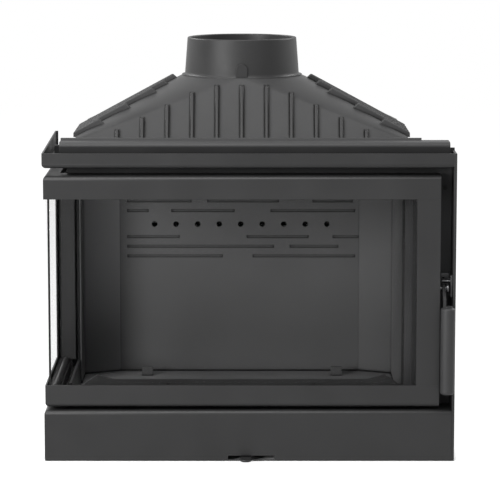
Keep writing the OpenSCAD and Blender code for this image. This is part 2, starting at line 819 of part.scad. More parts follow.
module ash_pan() color(steel_c) placed() {
    x = [hole_x - grate_w / 2 + 1.5 * grate_ledge, hole_x + grate_w / 2 - 1.5 * grate_ledge];
    d = [grate_front + 1.5 * grate_ledge, grate_front + grate_l - 1.5 * grate_ledge];
    difference() {
        block(x, d, [base_top, base_top + pan_h]);
        block([x[0] + pan_t, x[1] - pan_t], [d[0] + pan_t, d[1] - pan_t],
            [base_top + pan_t, base_top + pan_h + over]);
    }
}

module grate() color(cast_c) placed() {
    x0 = hole_x - grate_w / 2;
    bar = (grate_w - grate_slots * grate_slot_w) / (grate_slots + 1);
    difference() {
        block([x0, x0 + grate_w], [grate_front, grate_front + grate_l], [floor_top, hearth_top]);
        block([x0 + grate_ledge, x0 + grate_w - grate_ledge],
            [grate_front + grate_ledge, grate_front + grate_l - grate_ledge],
            [floor_top - over, (floor_top + hearth_top) / 2]);
        for (i = [0 : grate_slots - 1]) {
            slot_x0 = x0 + bar + i * (bar + grate_slot_w);
            block([slot_x0, slot_x0 + grate_slot_w],
                [grate_front + 2 * grate_ledge, grate_front + grate_l - 2 * grate_ledge],
                [floor_top - over, hearth_top + over]);
        }
    }
}

module log_guard() color(cast_c) placed() difference() {
    translate([guard_x, plate_back + guard_t, 0]) rotate([90, 0, 0]) linear_extrude(guard_t)
        polygon([[-guard_half, floor_top], [-guard_half, guard_end_z], [-0.9 * guard_half, guard_peak_z],
            [-0.8 * guard_half, guard_mid_z], [0.8 * guard_half, guard_mid_z],
            [0.9 * guard_half, guard_peak_z], [guard_half, guard_end_z], [guard_half, floor_top]]);
    for (side = [-1, 1])
        rod_d(guard_x + side * 0.46 * guard_half, [plate_back - over, plate_back + guard_t + over],
            guard_mid_z - 1.5 * guard_t, guard_t / 2);
}

module lining_lugs() color(cast_c) placed()
    for (side = [-1, 1])
        block([guard_x + side * 7.35 * lining_t - 0.42 * lining_t, guard_x + side * 7.35 * lining_t + 0.42 * lining_t],
            [left_corner_d - 0.6 * lining_t, left_corner_d - 0.3 * lining_t],
            [hearth_top, hearth_top + 0.7 * lining_t]);

// Small fixed parts
module hinge_brackets() color(steel_c) placed() {
    x = [hinge_x - hinge_in + 0.8 * bracket_t, wall_left];
    d = [return_d + 0.4 * bracket_t, door_rear];
    block(x, d, [bottom_bracket_top - bracket_t, bottom_bracket_top]);
    block([wall_left - bracket_t, wall_left], d, [floor_z, bottom_bracket_top - bracket_t]);
    block(x, d, [top_bracket_bottom, top_bracket_bottom + bracket_t]);
    block([wall_left - bracket_t, wall_left], d, [top_bracket_bottom + bracket_t, shoulder_top]);
}

module hinge_pins() color("#8a8c8e") placed() {
    rod_z(hinge_x, hinge_d, [bottom_bracket_top, door_bottom + sheet_t + block_h - over], pin_r);
    rod_z(hinge_x, hinge_d, [bottom_bracket_top, door_bottom - seat], 1.7 * pin_r);
    rod_z(hinge_x, hinge_d, [door_top - sheet_t - block_h + over, top_bracket_bottom], pin_r);
}

module latch_catch() color("#8a8c8e") placed() {
    block([panel_x - sheet_t, panel_x], [wash_front, bar_d + 4.5 * spindle_r],
        [spindle_z - 3.2 * spindle_r, spindle_z + 4.8 * spindle_r]);
    rod_x([hook_x - 2 * hook_t, panel_x - sheet_t], bar_d, bar_z, bar_r);
}

module strike_plate() color("#5a5c5e") placed() difference() {
    block([door_right + 1.8 * sheet_t, panel_x - 0.7 * sheet_t], [plate_d - sheet_t, plate_d],
        [spindle_z + 0.5 * spindle_r, spindle_z + 4.5 * spindle_r]);
    rod_d(door_right + 2.9 * sheet_t + over, [plate_d - sheet_t - over, plate_d + over],
        spindle_z + 2.7 * spindle_r, sheet_t / 2 + over / 2);
}

module recess_screws() color("#5a5c5e") placed()
    for (z = [rail_top + bead_drop, head_bottom + 2 * bead_drop])
        rod_d((door_right + panel_x) / 2, [plate_d - sheet_t, plate_d], z, 1.2 * sheet_t);

module levelling_feet() color(dark_c) placed()
    for (x = [wall_left + 2 * foot_r, wall_right - 2 * foot_r],
            d = [plate_d + 2 * foot_r, body_d - 2 * foot_r]) {
        rod_z(x, d, [0, foot_h], foot_r);
        rod_z(x, d, [foot_h, base_z], foot_r / 3);
    }

module air_inlet_spigot() color(steel_c) placed() difference() {
    union() {
        rod_d(hood_x, [body_d, body_d + spigot_out], spigot_z, spigot_r);
        rod_d(hood_x, [body_d, body_d + sheet_t], spigot_z, spigot_r + 3 * sheet_t);
    }
    rod_d(hood_x, [body_d - over, body_d + spigot_out + over], spigot_z, spigot_r - spigot_t);
}

module slider_guides() color(steel_c) placed() {
    half = shutter_w / 2 + 3 * lever_w;
    lip = shutter_z - seat;
    for (side = [0, 1]) {
        near = side == 0 ? shutter_front - seat - 2 * sheet_t : shutter_front + shutter_l + seat;
        foot = side == 0 ? [near, near + 4 * sheet_t] : [near - 2 * sheet_t, near + 2 * sheet_t];
        block([slot_x - half, slot_x + half], [near, near + 2 * sheet_t], [lip, base_z]);
        block([slot_x - half, slot_x + half], foot, [lip - sheet_t / 2, lip]);
    }
}

// Door
module door_rail_fillers(z) {
    block([side_web_out, door_right - sheet_t], [web_front, web_back], z);
    block([side_web_out, side_web_in], [web_front, door_rear], z);
}

module door_bottom_rail() color(steel_c) placed() {
    z = [door_bottom + sheet_t, web_low_top];
    difference() {
        corner_sheet([door_left, door_right], [door_set, door_rear], [door_bottom, rail_top],
            web_back - door_set, side_web_in - door_left);
        rod_z(hinge_x, hinge_d, [door_bottom - over, door_bottom + sheet_t + over], 1.2 * pin_r);
    }
    door_rail_fillers(z);
    block([door_right - sheet_t, door_right], [door_skin, web_back], [door_bottom + sheet_t, rail_top]);
    block([door_skin_x, side_web_out], [door_rear - sheet_t, door_rear], [door_bottom + sheet_t, rail_top]);
}

module door_top_rail() color(steel_c) placed() {
    z = [web_high_bottom, door_top - sheet_t];
    difference() {
        corner_sheet_up([door_left, door_right], [door_set, door_rear], [head_bottom, door_top],
            web_back - door_set, side_web_in - door_left);
        rod_z(hinge_x, hinge_d, [door_top - sheet_t - over, door_top + over], 1.2 * pin_r);
    }
    door_rail_fillers(z);
    block([door_right - sheet_t, door_right], [door_skin, web_back], [head_bottom, door_top - sheet_t]);
    block([door_skin_x, side_web_out], [door_rear - sheet_t, door_rear], [head_bottom, door_top - sheet_t]);
}

module door_front_stile() color(steel_c) placed() difference() {
    union() {
        block([stile_x, door_right], [door_set, door_skin], [rail_top, head_bottom]);
        block([door_right - sheet_t, door_right], [door_skin, web_back], [rail_top, head_bottom]);
        block([stile_x - web_reach, door_right - sheet_t], [web_front, web_back],
            [web_low_top, web_high_bottom]);
    }
    rod_x([door_right - sheet_t - over, door_right + over], spindle_d, spindle_z, spindle_r + 2 * running);
}

module door_rear_stile() color(steel_c) placed() {
    block([door_left, door_skin_x], [rear_stile_d, door_rear], [rail_top, head_bottom]);
    block([door_skin_x, side_web_out], [door_rear - sheet_t, door_rear], [rail_top, head_bottom]);
    block([side_web_out, side_web_in], [rear_stile_d + 2 * sheet_t, door_rear], [web_low_top, web_high_bottom]);
}

module front_glass() color(glass_c) placed()
    block([glass_in_x + corner_seal_w, stile_x + glass_lap], [door_skin, glass_in], [glass_low, glass_high]);

module side_glass() color(glass_c) placed()
    block([door_skin_x, glass_in_x], [door_skin, rear_stile_d + glass_lap], [glass_low, glass_high]);

module glass_corner_seal() color(seal_c) placed()
    block([glass_in_x, glass_in_x + corner_seal_w], [door_skin, glass_in], [glass_low, glass_high]);

module glass_seals() color(seal_c) placed() {
    band = glass_lap - 2 * rope_clear * 4;
    for (z = [[glass_low, glass_low + band], [glass_high - band, glass_high]]) {
        block([seal_in_x, stile_x + glass_lap], [glass_in, seal_in], z);
        block([glass_in_x, seal_in_x], [glass_in, rear_stile_d + glass_lap], z);
    }
    block([stile_x + glass_lap - band, stile_x + glass_lap], [glass_in, seal_in],
        [glass_low + band, glass_high - band]);
    block([glass_in_x, seal_in_x], [rear_stile_d + glass_lap - band, rear_stile_d + glass_lap],
        [glass_low + band, glass_high - band]);
}

// Section of a sloped glass bead: near is its outer face, far its inner edge, z the edge of the glass opening
module bead_section(near, far, z) {
    polygon([[near, z - 2 * bead_drop], [near, z], [far, z - bead_drop], [far, z - bead_drop - sheet_t],
        [near + sheet_t, z - 1.2 * sheet_t], [near + sheet_t, z - 2 * bead_drop]]);
}

// The bead along the front and the side, mitred in the corner
module bead_run(z) {
    side_run = side_web_out - seal_in_x;
    front_end = stile_x;
    rear_end = rear_stile_d;
    length = insert_w;
    intersection() {
        translate([seal_in_x, 0, 0]) rotate([90, 0, 90]) linear_extrude(front_end - seal_in_x)
            bead_section(seal_in, seal_in + side_run, z);
        translate([seal_in_x, seal_in, z - length]) linear_extrude(2 * length)
            polygon([[0, 0], [length, length], [length, 0]]);
    }
    intersection() {
        translate([0, rear_end, 0]) rotate([90, 0, 0]) linear_extrude(rear_end - seal_in)
            bead_section(seal_in_x, side_web_out, z);
        translate([seal_in_x, seal_in, z - length]) linear_extrude(2 * length)
            polygon([[0, 0], [length, length], [0, length]]);
    }
}

module glass_beads() color(steel_c) placed() {
    bead_run(rail_top - over);
    mirror([0, 0, 1]) bead_run(-head_bottom - over);
    upright = [web_low_top + sheet_t, web_high_bottom - sheet_t];
    block([stile_x, stile_x + glass_lap], [seal_in, seal_in + sheet_t], upright);
    block([seal_in_x, seal_in_x + sheet_t], [rear_stile_d, rear_stile_d + glass_lap], upright);
    block([seal_in_x, wall_left - sheet_t], [rear_stile_d - sheet_t, rear_stile_d], upright);
}

module bead_screws() color("#101010") placed()
    for (z = [rail_top + lining_t, head_bottom - lining_t])
        rod_d(seal_in_x + 2 * sheet_t, [rear_stile_d - sheet_t - over, rear_stile_d - sheet_t], z, sheet_t / 2);

// The rope seal: eight straight runs round both openings, with ball joints in the corners
module door_rope_seal() color(seal_c) placed() {
    r = rope / 2;
    corners = [[rope_right_x, rope_d], [rope_x, rope_d], [rope_x, rope_rear_d]];
    for (z = [rope_low_z, rope_high_z]) {
        rod_x([rope_x, rope_right_x], rope_d, z, r);
        rod_d(rope_x, [rope_d, rope_rear_d], z, r);
        for (c = corners) translate([c[0], c[1], z]) sphere(r);
    }
    rod_z(rope_right_x, rope_d, [rope_low_z, rope_high_z], r);
    rod_z(rope_x, rope_rear_d, [rope_low_z, rope_high_z], r);
}

module hinge_blocks() color(steel_c) placed()
    for (z = [[door_bottom + sheet_t, door_bottom + sheet_t + block_h],
            [door_top - sheet_t - block_h, door_top - sheet_t]])
        difference() {
            block([door_left + bend_r, side_web_out], [hinge_d - 2 * pin_r, door_rear - sheet_t], z);
            rod_z(hinge_x, hinge_d, [z[0] - over, z[1] + over], pin_r + running);
        }

module latch_bush() color(steel_c) placed() difference() {
    block([bush_x, door_right - sheet_t], [door_skin, spindle_d + 2 * spindle_r],
        [spindle_z - 2 * spindle_r, spindle_z + 2 * spindle_r]);
    rod_x([bush_x - over, door_right - sheet_t + over], spindle_d, spindle_z, spindle_r + running);
}

// Latch
module latch_spindle() color("#6a6c6e") placed() {
    rod_x([bush_x - sheet_t, hook_x + hook_t], spindle_d, spindle_z, spindle_r);
    rod_x([bush_x - sheet_t, bush_x - seat], spindle_d, spindle_z, 1.5 * spindle_r);
}

module latch_hook() color("#6a6c6e") placed() difference() {
    translate([hook_x, 0, 0]) rotate([90, 0, 90]) linear_extrude(hook_t) {
        translate([spindle_d, spindle_z]) circle(1.7 * spindle_r);
        polygon([[spindle_d, spindle_z - 1.2 * spindle_r],
            [bar_d + 2.2 * bar_r, spindle_z - 0.4 * spindle_r],
            [bar_d + 2.2 * bar_r, bar_z - bar_r - hook_gap],
            [bar_d + 1.2 * bar_r, bar_z - bar_r - hook_gap],
            [bar_d + 1.2 * bar_r, spindle_z + 0.6 * spindle_r],
            [spindle_d, spindle_z + spindle_r]]);
    }
    rod_x([hook_x - over, hook_x + hook_t + over], spindle_d, spindle_z, spindle_r + running);
}

module handle_lever() color(grip_c) placed() {
    difference() {
        translate([lever_x, 0, 0]) rotate([90, 0, 90]) linear_extrude(lever_t) {
            translate([spindle_d, spindle_z]) circle(1.6 * spindle_r);
            polygon([[spindle_d - spindle_r, spindle_z - 1.3 * spindle_r],
                [spindle_d, spindle_z + 1.5 * spindle_r],
                [spindle_d - 1.5 * spindle_r, spindle_z + 1.4 * spindle_r],
                [-grip_out - spindle_r, grip_top + 3 * spindle_r],
                [-grip_out - spindle_r, grip_top], [-grip_out + spindle_r, grip_top],
                [-grip_out + spindle_r, grip_top + 2 * spindle_r]]);
        }
        rod_x([lever_x - over, lever_x + lever_t + over], spindle_d, spindle_z, spindle_r + running);
    }
    rod_z(grip_x, -grip_out, [grip_top, grip_top + lever_t / 2], 0.6 * grip_r);
}

module handle_grip() color(grip_c) placed() translate([grip_x, -grip_out, grip_z]) {
    round_r = 0.4 * grip_r;
    rotate_extrude() intersection() {
        square([grip_r, grip_l]);
        union() {
            translate([0, round_r]) square([grip_r, grip_l - 2 * round_r]);
            square([grip_r - round_r, grip_l]);
            for (z = [round_r, grip_l - round_r]) translate([grip_r - round_r, z]) circle(round_r);
        }
    }
}

// Air control
module air_lever() color(steel_c) placed() {
    z = [air_lever_z, air_lever_z + air_lever_t];
    block([lever_mid - lever_w / 2, lever_mid + lever_w / 2],
        [lever_w / 2 - lever_out, shutter_front + shutter_l / 2], z);
    rod_z(lever_mid, lever_w / 2 - lever_out, z, lever_w / 2);
}

module air_shutter() color(steel_c) placed() {
    difference() {
        block([lever_mid - shutter_w / 2, lever_mid + shutter_w / 2],
            [shutter_front, shutter_front + shutter_l], [shutter_z, shutter_top]);
        for (side = [-1, 1])
            block([lever_mid + (side * 2.5 - 0.5) * lever_w, lever_mid + (side * 2.5 + 0.5) * lever_w],
                [shutter_front + 0.2 * shutter_l, shutter_front + 0.8 * shutter_l],
                [shutter_z - over, shutter_top + over]);
    }
    block([lever_mid - lever_w / 2, lever_mid + lever_w / 2],
        [shutter_front + 0.3 * shutter_l, shutter_front + shutter_l / 2],
        [air_lever_z + air_lever_t, shutter_z]);
}

base_plate();
floor_plate();
plinth();
right_side_panel();
top_strip();
strip_brackets();
front_plate();
left_wall();
right_wall();
rear_wall();
shoulder_plate();
upper_walls();
top_plate();
air_wash_box();
smoke_hood();
flue_collar();
hood_bolts();
rear_lining();
left_lining();
right_lining();
left_corner_lining();
right_corner_lining();
rear_air_duct();
lower_baffle();
upper_baffle();
baffle_rests();
hearth_tiles();
ash_pan();
log_guard();
lining_lugs();
hinge_brackets();
hinge_pins();
latch_catch();
strike_plate();
recess_screws();
levelling_feet();
air_inlet_spigot();
slider_guides();
door_top_rail();
door_bottom_rail();
door_front_stile();
door_rear_stile();
front_glass();
side_glass();
glass_corner_seal();
glass_seals();
glass_beads();
bead_screws();
door_rope_seal();
hinge_blocks();
latch_bush();
latch_spindle();
latch_hook();
handle_lever();
handle_grip();
air_lever();
air_shutter();
grate();
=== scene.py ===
"""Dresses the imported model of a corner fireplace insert: castings, sheets, linings, glass."""

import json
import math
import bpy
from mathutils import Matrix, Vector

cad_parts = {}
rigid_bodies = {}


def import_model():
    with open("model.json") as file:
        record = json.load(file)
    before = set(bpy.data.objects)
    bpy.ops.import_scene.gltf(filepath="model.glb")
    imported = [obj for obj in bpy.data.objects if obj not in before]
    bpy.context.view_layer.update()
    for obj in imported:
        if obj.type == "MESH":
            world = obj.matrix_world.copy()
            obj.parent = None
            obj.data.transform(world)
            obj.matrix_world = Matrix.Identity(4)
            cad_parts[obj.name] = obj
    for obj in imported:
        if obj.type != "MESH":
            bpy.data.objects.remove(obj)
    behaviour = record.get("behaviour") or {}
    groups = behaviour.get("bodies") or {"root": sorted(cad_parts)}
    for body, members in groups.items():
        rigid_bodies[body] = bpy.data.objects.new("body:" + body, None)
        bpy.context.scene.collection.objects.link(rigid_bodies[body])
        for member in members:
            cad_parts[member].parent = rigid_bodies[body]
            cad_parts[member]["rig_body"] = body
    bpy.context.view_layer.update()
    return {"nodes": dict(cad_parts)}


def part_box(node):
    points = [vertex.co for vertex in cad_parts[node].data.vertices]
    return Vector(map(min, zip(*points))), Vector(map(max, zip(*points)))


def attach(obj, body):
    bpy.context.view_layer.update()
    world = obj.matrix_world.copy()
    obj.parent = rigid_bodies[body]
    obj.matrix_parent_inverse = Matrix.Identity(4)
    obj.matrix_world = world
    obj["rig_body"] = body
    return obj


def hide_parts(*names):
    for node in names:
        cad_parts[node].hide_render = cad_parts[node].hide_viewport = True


bl_info = {
    "name": "Corner Fireplace Insert",
    "version": (1, 0, 0),
    "blender": (4, 5, 0),
    "location": "View3D > Sidebar > Fireplace Insert",
    "description": "Builds the castings, sheets, linings, glass and finishes of the insert",
    "category": "Object",
}

import bmesh
import bpy
from mathutils import Matrix, Vector

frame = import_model()
# The front plane of the casing, from which depths are counted backwards
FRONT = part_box("plinth")[0].y


# Shader values and finishes
class Value:
    """A shader socket that takes part in Python sums and products."""

    def __init__(self, finish, socket):
        self.finish = finish
        self.socket = socket

    def math(self, operation, first, second):
        return self.finish.node(
            "ShaderNodeMath", {"operation": operation}, {0: first, 1: second}
        )

    def __add__(self, other):
        return self.math("ADD", self, other)

    __radd__ = __add__

    def __sub__(self, other):
        return self.math("SUBTRACT", self, other)

    def __rsub__(self, other):
        return self.math("SUBTRACT", other, self)

    def __mul__(self, other):
        return self.math("MULTIPLY", self, other)

    __rmul__ = __mul__

    def absolute(self):
        return self.math("ABSOLUTE", self, 0.0)


class Finish:
    """A procedural material and the nodes that make it."""

    def __init__(self, name, tree=None):
        if tree is None:
            self.material = bpy.data.materials.new(name)
            self.material.use_nodes = True
            tree = self.material.node_tree
        self.tree = tree
        self.tree.nodes.clear()

    def node(self, kind, settings=None, sockets=None, output=0):
        made = self.tree.nodes.new(kind)
        for key, value in (settings or {}).items():
            setattr(made, key, value)
        for key, value in (sockets or {}).items():
            socket = made.inputs[key]
            if isinstance(value, Value):
                self.tree.links.new(value.socket, socket)
            else:
                socket.default_value = value
        return Value(self, made.outputs[output]) if made.outputs else made

    def place(self, scale=(1, 1, 1), turn=(0, 0, 0)):
        """Object coordinates, turned and stretched."""
        coordinates = self.node("ShaderNodeTexCoord", output="Object")
        return self.node(
            "ShaderNodeMapping",
            {"vector_type": "POINT"},
            {"Vector": coordinates, "Rotation": turn, "Scale": scale},
        )

    def part(self, place, axis):
        """One of the three parts of a place: 0 across, 1 back and 2 up."""
        return self.node("ShaderNodeSeparateXYZ", {}, {0: place}, output=axis)

    def noise(self, place, scale, detail, roughness=0.55):
        return self.node(
            "ShaderNodeTexNoise",
            {"noise_dimensions": "3D"},
            {"Vector": place, "Scale": scale, "Detail": detail, "Roughness": roughness},
        )

    def cells(self, place, scale):
        return self.node(
            "ShaderNodeTexVoronoi", {"feature": "F1"}, {"Vector": place, "Scale": scale}
        )

    def spread(self, value, low, high, to_low=0.0, to_high=1.0):
        return self.node(
            "ShaderNodeMapRange",
            {"clamp": True},
            {
                "Value": value,
                "From Min": low,
                "From Max": high,
                "To Min": to_low,
                "To Max": to_high,
            },
        )

    def tint(self, factor, first, second):
        return self.node(
            "ShaderNodeMix",
            {"data_type": "RGBA", "blend_type": "MIX"},
            {0: factor, 6: first, 7: second},
            output=2,
        )

    def crevice_shade(self, reach, low=0.25, high=0.85):
        """0 in narrow corners and joints and 1 on open faces: the mask for painted shade in them.
        """
        unshaded_share = self.node(
            "ShaderNodeAmbientOcclusion",
            {"samples": 12},
            {"Distance": reach},
            output="AO",
        )
        return self.spread(unshaded_share, low, high)

    def bump(self, height, strength, distance):
        return self.node(
            "ShaderNodeBump", {}, {"Height": height, "Strength": strength, "Distance": distance}
        )

    def surface(self, sockets):
        shader = self.node("ShaderNodeBsdfPrincipled", {}, sockets)
        self.node("ShaderNodeOutputMaterial", {}, {"Surface": shader})
        return self.material


def shade(colour, factor=1.0):
    """A colour made lighter or darker, with full alpha."""
    return (*(min(1.0, part * factor) for part in colour[:3]), 1.0)


# Scale and depth of the grain in sheet paint, and gloss of the paint that soot has dulled
PAINT_GRAIN, PAINT_DEPTH, INNER_GLOSS = 1400.0, 0.00012, 0.14
# Widths over which a painted light edge, the painted shade at a board's front end and the painted
# shade line at its foot fade out
EDGE_FADE, END_FADE, FOOT_FADE = 0.004, (0.0015, 0.004), 0.0008


def painted_sheet(name, colour, specular=0.3, reach=0.008):
    """Matt heat-proof paint on folded steel sheet: a fine grain, a faint cloud and painted shade in
    its corners.
    """
    finish = Finish(name)
    place = finish.place()
    cloud = finish.noise(place, 9.0, 2.0)
    grain = finish.noise(place, PAINT_GRAIN, 2.0)
    mask = finish.spread(cloud * 0.8 + grain * 0.2, 0.35, 0.65)
    paint = finish.tint(mask, shade(colour, 0.9), shade(colour, 1.1))
    return finish.surface(
        {
            # Painted shade: within the reach of a corner the paint darkens to a third of its colour
            "Base Color": finish.tint(finish.crevice_shade(reach), shade(colour, 0.35), paint),
            "Roughness": 0.4 + mask * 0.1,
            "Specular IOR Level": specular,
            "Normal": finish.bump(grain, 0.35, PAINT_DEPTH),
        }
    )


def inner_sheet(name, colour, lit_edge_colour, level):
    """Paint on a plate behind the door, in a tone set as painted light and shade, with painted
    light on the upper edge that stands in the open.
    """
    finish = Finish(name)
    place = finish.place()
    grain = finish.noise(place, PAINT_GRAIN, 2.0)
    cloud = finish.noise(place, 7.0, 2.0)
    # Painted light: above the level the plate takes the lighter edge colour
    upper = finish.spread(finish.part(place, 2), level - EDGE_FADE, level)
    mask = finish.spread(cloud, 0.35, 0.65)
    cloud_tone = finish.tint(mask, shade(colour, 0.85), shade(colour, 1.15))
    return finish.surface(
        {
            "Base Color": finish.tint(upper, cloud_tone, shade(lit_edge_colour)),
            "Roughness": 0.48 + cloud * 0.1,
            "Specular IOR Level": INNER_GLOSS,
            "Normal": finish.bump(grain, 0.35, PAINT_DEPTH),
        }
    )


def cast_skin(name, colour, specular=0.34, feet=None, lip=None):
    """Painted sand casting: a skin of small pits, with painted shade in its hollows above the lip.
    """
    finish = Finish(name)
    place = finish.place()
    sand = finish.noise(place, 420.0, 4.0, 0.7)
    pits = finish.cells(place, 260.0)
    cloud = finish.noise(place, 14.0, 3.0)
    height = sand * 0.7 + finish.spread(pits, 0.0, 0.5) * 0.3
    mask = finish.spread(cloud * 0.7 + sand * 0.3, 0.35, 0.65)
    paint = finish.tint(mask, shade(colour, 0.88), shade(colour, 1.12))
    if feet:
        # Painted shade: near-black paint along the ribs' feet where their mask is 1
        paint = finish.tint(feet(finish), paint, shade(colour, 0.02))
    unshaded_share = finish.crevice_shade(0.007, 0.42, 0.82)
    # Below the lip the hood gets no painted shade
    if lip:
        below = finish.spread(finish.part(place, 2), lip, lip + EDGE_FADE, 1.0, 0.0)
        unshaded_share = unshaded_share.math("MAXIMUM", unshaded_share, below)
    return finish.surface(
        {
            "Base Color": finish.tint(unshaded_share, shade(colour, 0.04), paint),
            "Roughness": 0.43 + mask * 0.12,
            "Specular IOR Level": specular,
            "Normal": finish.bump(height, 0.45, 0.0003),
        }
    )


def lining_board(name, colour, near=None, foot=None):
    """Pressed mineral board: flat flakes, pores, faint soot, and painted shade in its corners,
    along its foot and towards its front end.
    """
    finish = Finish(name)
    place = finish.place()
    flakes = finish.cells(place, 330.0)
    pores = finish.noise(place, 900.0, 3.0, 0.6)
    cloud_tone = finish.noise(place, 5.0, 2.0)
    flake_mask = finish.spread(flakes, 0.1, 0.7)
    mask = finish.spread(cloud_tone * 0.6 + flake_mask * 0.15 + pores * 0.25, 0.3, 0.7)
    board = finish.tint(mask, shade(colour, 0.88), shade(colour, 1.12))
    if near:
        # Painted shade: the board darkens towards its front end by the door, and its very end
        # darker still, over the light on its edge
        front, rear, dark_front_share = near
        depth = finish.part(place, 1)
        board = finish.tint(finish.spread(depth, front, rear), shade(colour, dark_front_share), board)
        end = finish.spread(depth, *(front + part for part in END_FADE))
        board = finish.tint(end, shade(colour, 0.12), board)
    if foot:
        # Painted shade: a near-black line along the board's foot, where it meets the hearth
        line = finish.spread(finish.part(place, 2), foot, foot + FOOT_FADE)
        board = finish.tint(line, shade(colour, 0.05), board)
    return finish.surface(
        {
            "Base Color": finish.tint(finish.crevice_shade(0.008, 0.35, 0.9), shade(colour, 0.1), board),
            "Roughness": 0.72 + pores * 0.2,
            "Specular IOR Level": 0.08,
            "Normal": finish.bump(pores * 0.6 + flake_mask * 0.4, 0.3, 0.0002),
        }
    )


def bare_metal(name, colour, brushed, roughness=0.32, metallic=1.0, specular=0.5):
    """Bare or burnished steel with lines drawn along one direction."""
    finish = Finish(name)
    place = finish.place(scale=brushed)
    lines = finish.noise(place, 900.0, 4.0, 0.6)
    cloud = finish.noise(finish.place(), 30.0, 2.0)
    mask = finish.spread(lines, 0.3, 0.7)
    return finish.surface(
        {
            "Base Color": finish.tint(mask, shade(colour, 0.8), shade(colour, 1.15)),
            "Roughness": roughness + mask * 0.12 + cloud * 0.08,
            "Metallic": metallic,
            "Specular IOR Level": specular,
            "Normal": finish.bump(lines, 0.15, 0.00005),
        }
    )


def ceramic_glass(name, colour, body):
    """Clear fireproof glass: it reflects more at a glancing view and is hardly tinted."""
    finish = Finish(name)
    place = finish.place()
    mask = finish.spread(finish.noise(place, 18.0, 1.0), 0.4, 0.6)
    rim = finish.node("ShaderNodeFresnel", {}, {"IOR": 1.45})
    return finish.surface(
        {
            "Base Color": finish.tint(mask, shade(colour, 0.98), shade(colour)),
            "Roughness": 0.02,
            "Metallic": 1.0,
            "Alpha": finish.spread(rim, 0.03, 1.0, body, body * 2),
        }
    )


def knitted_rope(name, colour):
    """Knitted mineral rope: rows of small stitches with loose fibres."""
    finish = Finish(name)
    place = finish.place()
    stitches = finish.cells(place, 420.0)
    fibres = finish.noise(finish.place(turn=(0.6, 0.5, 0.4)), 2500.0, 3.0)
    mask = finish.spread(stitches, 0.0, 0.6)
    return finish.surface(
        {
            "Base Color": finish.tint(mask, shade(colour, 1.5), shade(colour, 0.6)),
            "Roughness": 0.95,
            "Specular IOR Level": 0.1,
            "Normal": finish.bump((1 - mask) * 0.8 + fibres * 0.2, 0.8, 0.0008),
        }
    )


# Finishes by their short names, filled in by the operator that mixes them
FINISHES = {}
# Edges of a CAD node that turn by more than this are broken
SHARP_ANGLE = math.radians(40)


# Mesh helpers
def box_shape(bm, low, high):
    """A block between two corners; returns its vertices."""
    low, high = Vector(low), Vector(high)
    verts = bmesh.ops.create_cube(bm, size=1.0)["verts"]
    place = Matrix.Translation((low + high) / 2) @ Matrix.Diagonal((*(high - low), 1.0))
    bmesh.ops.transform(bm, matrix=place, verts=verts)
    return verts


def slab(bm, outline, span, axis):
    """A prism: an outline across the X or Y axis, drawn out between two places on it."""
    first, last = span
    points = [(first, a, b) if axis == "X" else (a, first, b) for a, b in outline]
    step = (last - first, 0, 0) if axis == "X" else (0, last - first, 0)
    face = bm.faces.new([bm.verts.new(point) for point in points])
    made = bmesh.ops.extrude_face_region(bm, geom=[face])["geom"]
    verts = [g for g in made if isinstance(g, bmesh.types.BMVert)]
    bmesh.ops.translate(bm, vec=step, verts=verts)
    ring = {f for v in verts + list(face.verts) for f in v.link_faces}
    bmesh.ops.recalc_face_normals(bm, faces=list(ring))
    return list({v for f in ring for v in f.verts})


def edges_of(verts, test):
    """The edges at some vertices that pass a test."""
    return [e for e in {e for v in verts for e in v.link_edges} if test(e)]


def along(edge, axis):
    """True for an edge that runs along an axis."""
    line = (edge.verts[1].co - edge.verts[0].co).normalized()
    return abs(line.dot(Vector(axis))) > 0.999


def arc(first, step, count):
    """Evenly spaced angles, from a first one and a step in degrees."""
    return [math.radians(first + step * i) for i in range(count)]


def circle(centre, radius, angles):
    """Points of a circle at the given angles."""
    return [(centre[0] + radius * math.cos(a), centre[1] + radius * math.sin(a)) for a in angles]


def rounded(bm, edges, radius, segments):
    """Rounds the given edges."""
    bmesh.ops.bevel(
        bm,
        geom=edges,
        offset=radius,
        offset_type="OFFSET",
        affect="EDGES",
        segments=segments,
        profile=0.5,
        clamp_overlap=True,
        material=-1,
    )


def spun(bm, profile, centre, steps):
    """A full turn of a closed profile, given as radius and height, about an upright axis."""
    verts = [bm.verts.new((centre[0] + r, centre[1], z)) for r, z in profile]
    edges = [
        bm.edges.new((verts[i], verts[(i + 1) % len(verts)])) for i in range(len(verts))
    ]
    bmesh.ops.spin(
        bm,
        geom=verts + edges,
        cent=(centre[0], centre[1], 0),
        axis=(0, 0, 1),
        angle=math.tau,
        steps=steps,
        use_merge=True,
        use_duplicate=False,
    )


def round_rim(radius, top, rounding, angles):
    """Profile points of a rounded outer rim, from its side up to its top."""
    return [
        (radius - rounding * (1 - math.cos(a)), top - rounding * (1 - math.sin(a)))
        for a in angles
    ]


def shaded(bm, sharp_degrees):
    """Smooth faces, with flat ones where they lie along an axis, and sharp edges past an angle."""
    for face in bm.faces:
        face.smooth = max(abs(part) for part in face.normal) < 0.99999
    limit = math.radians(sharp_degrees)
    for edge in bm.edges:
        edge.smooth = len(edge.link_faces) != 2 or edge.calc_face_angle(0.0) < limit


def piece_from(bm, name, body, finish, stands_for=(), sharp_degrees=35):
    """Makes the finished piece from its mesh and hangs it on its body."""
    bmesh.ops.recalc_face_normals(bm, faces=bm.faces)
    bm.normal_update()
    shaded(bm, sharp_degrees)
    mesh = bpy.data.meshes.new(name)
    bm.to_mesh(mesh)
    bm.free()
    made = bpy.data.objects.new(name, mesh)
    bpy.context.scene.collection.objects.link(made)
    made.data.materials.append(FINISHES[finish])
    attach(made, body)
    if stands_for:
        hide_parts(*stands_for)
    return made


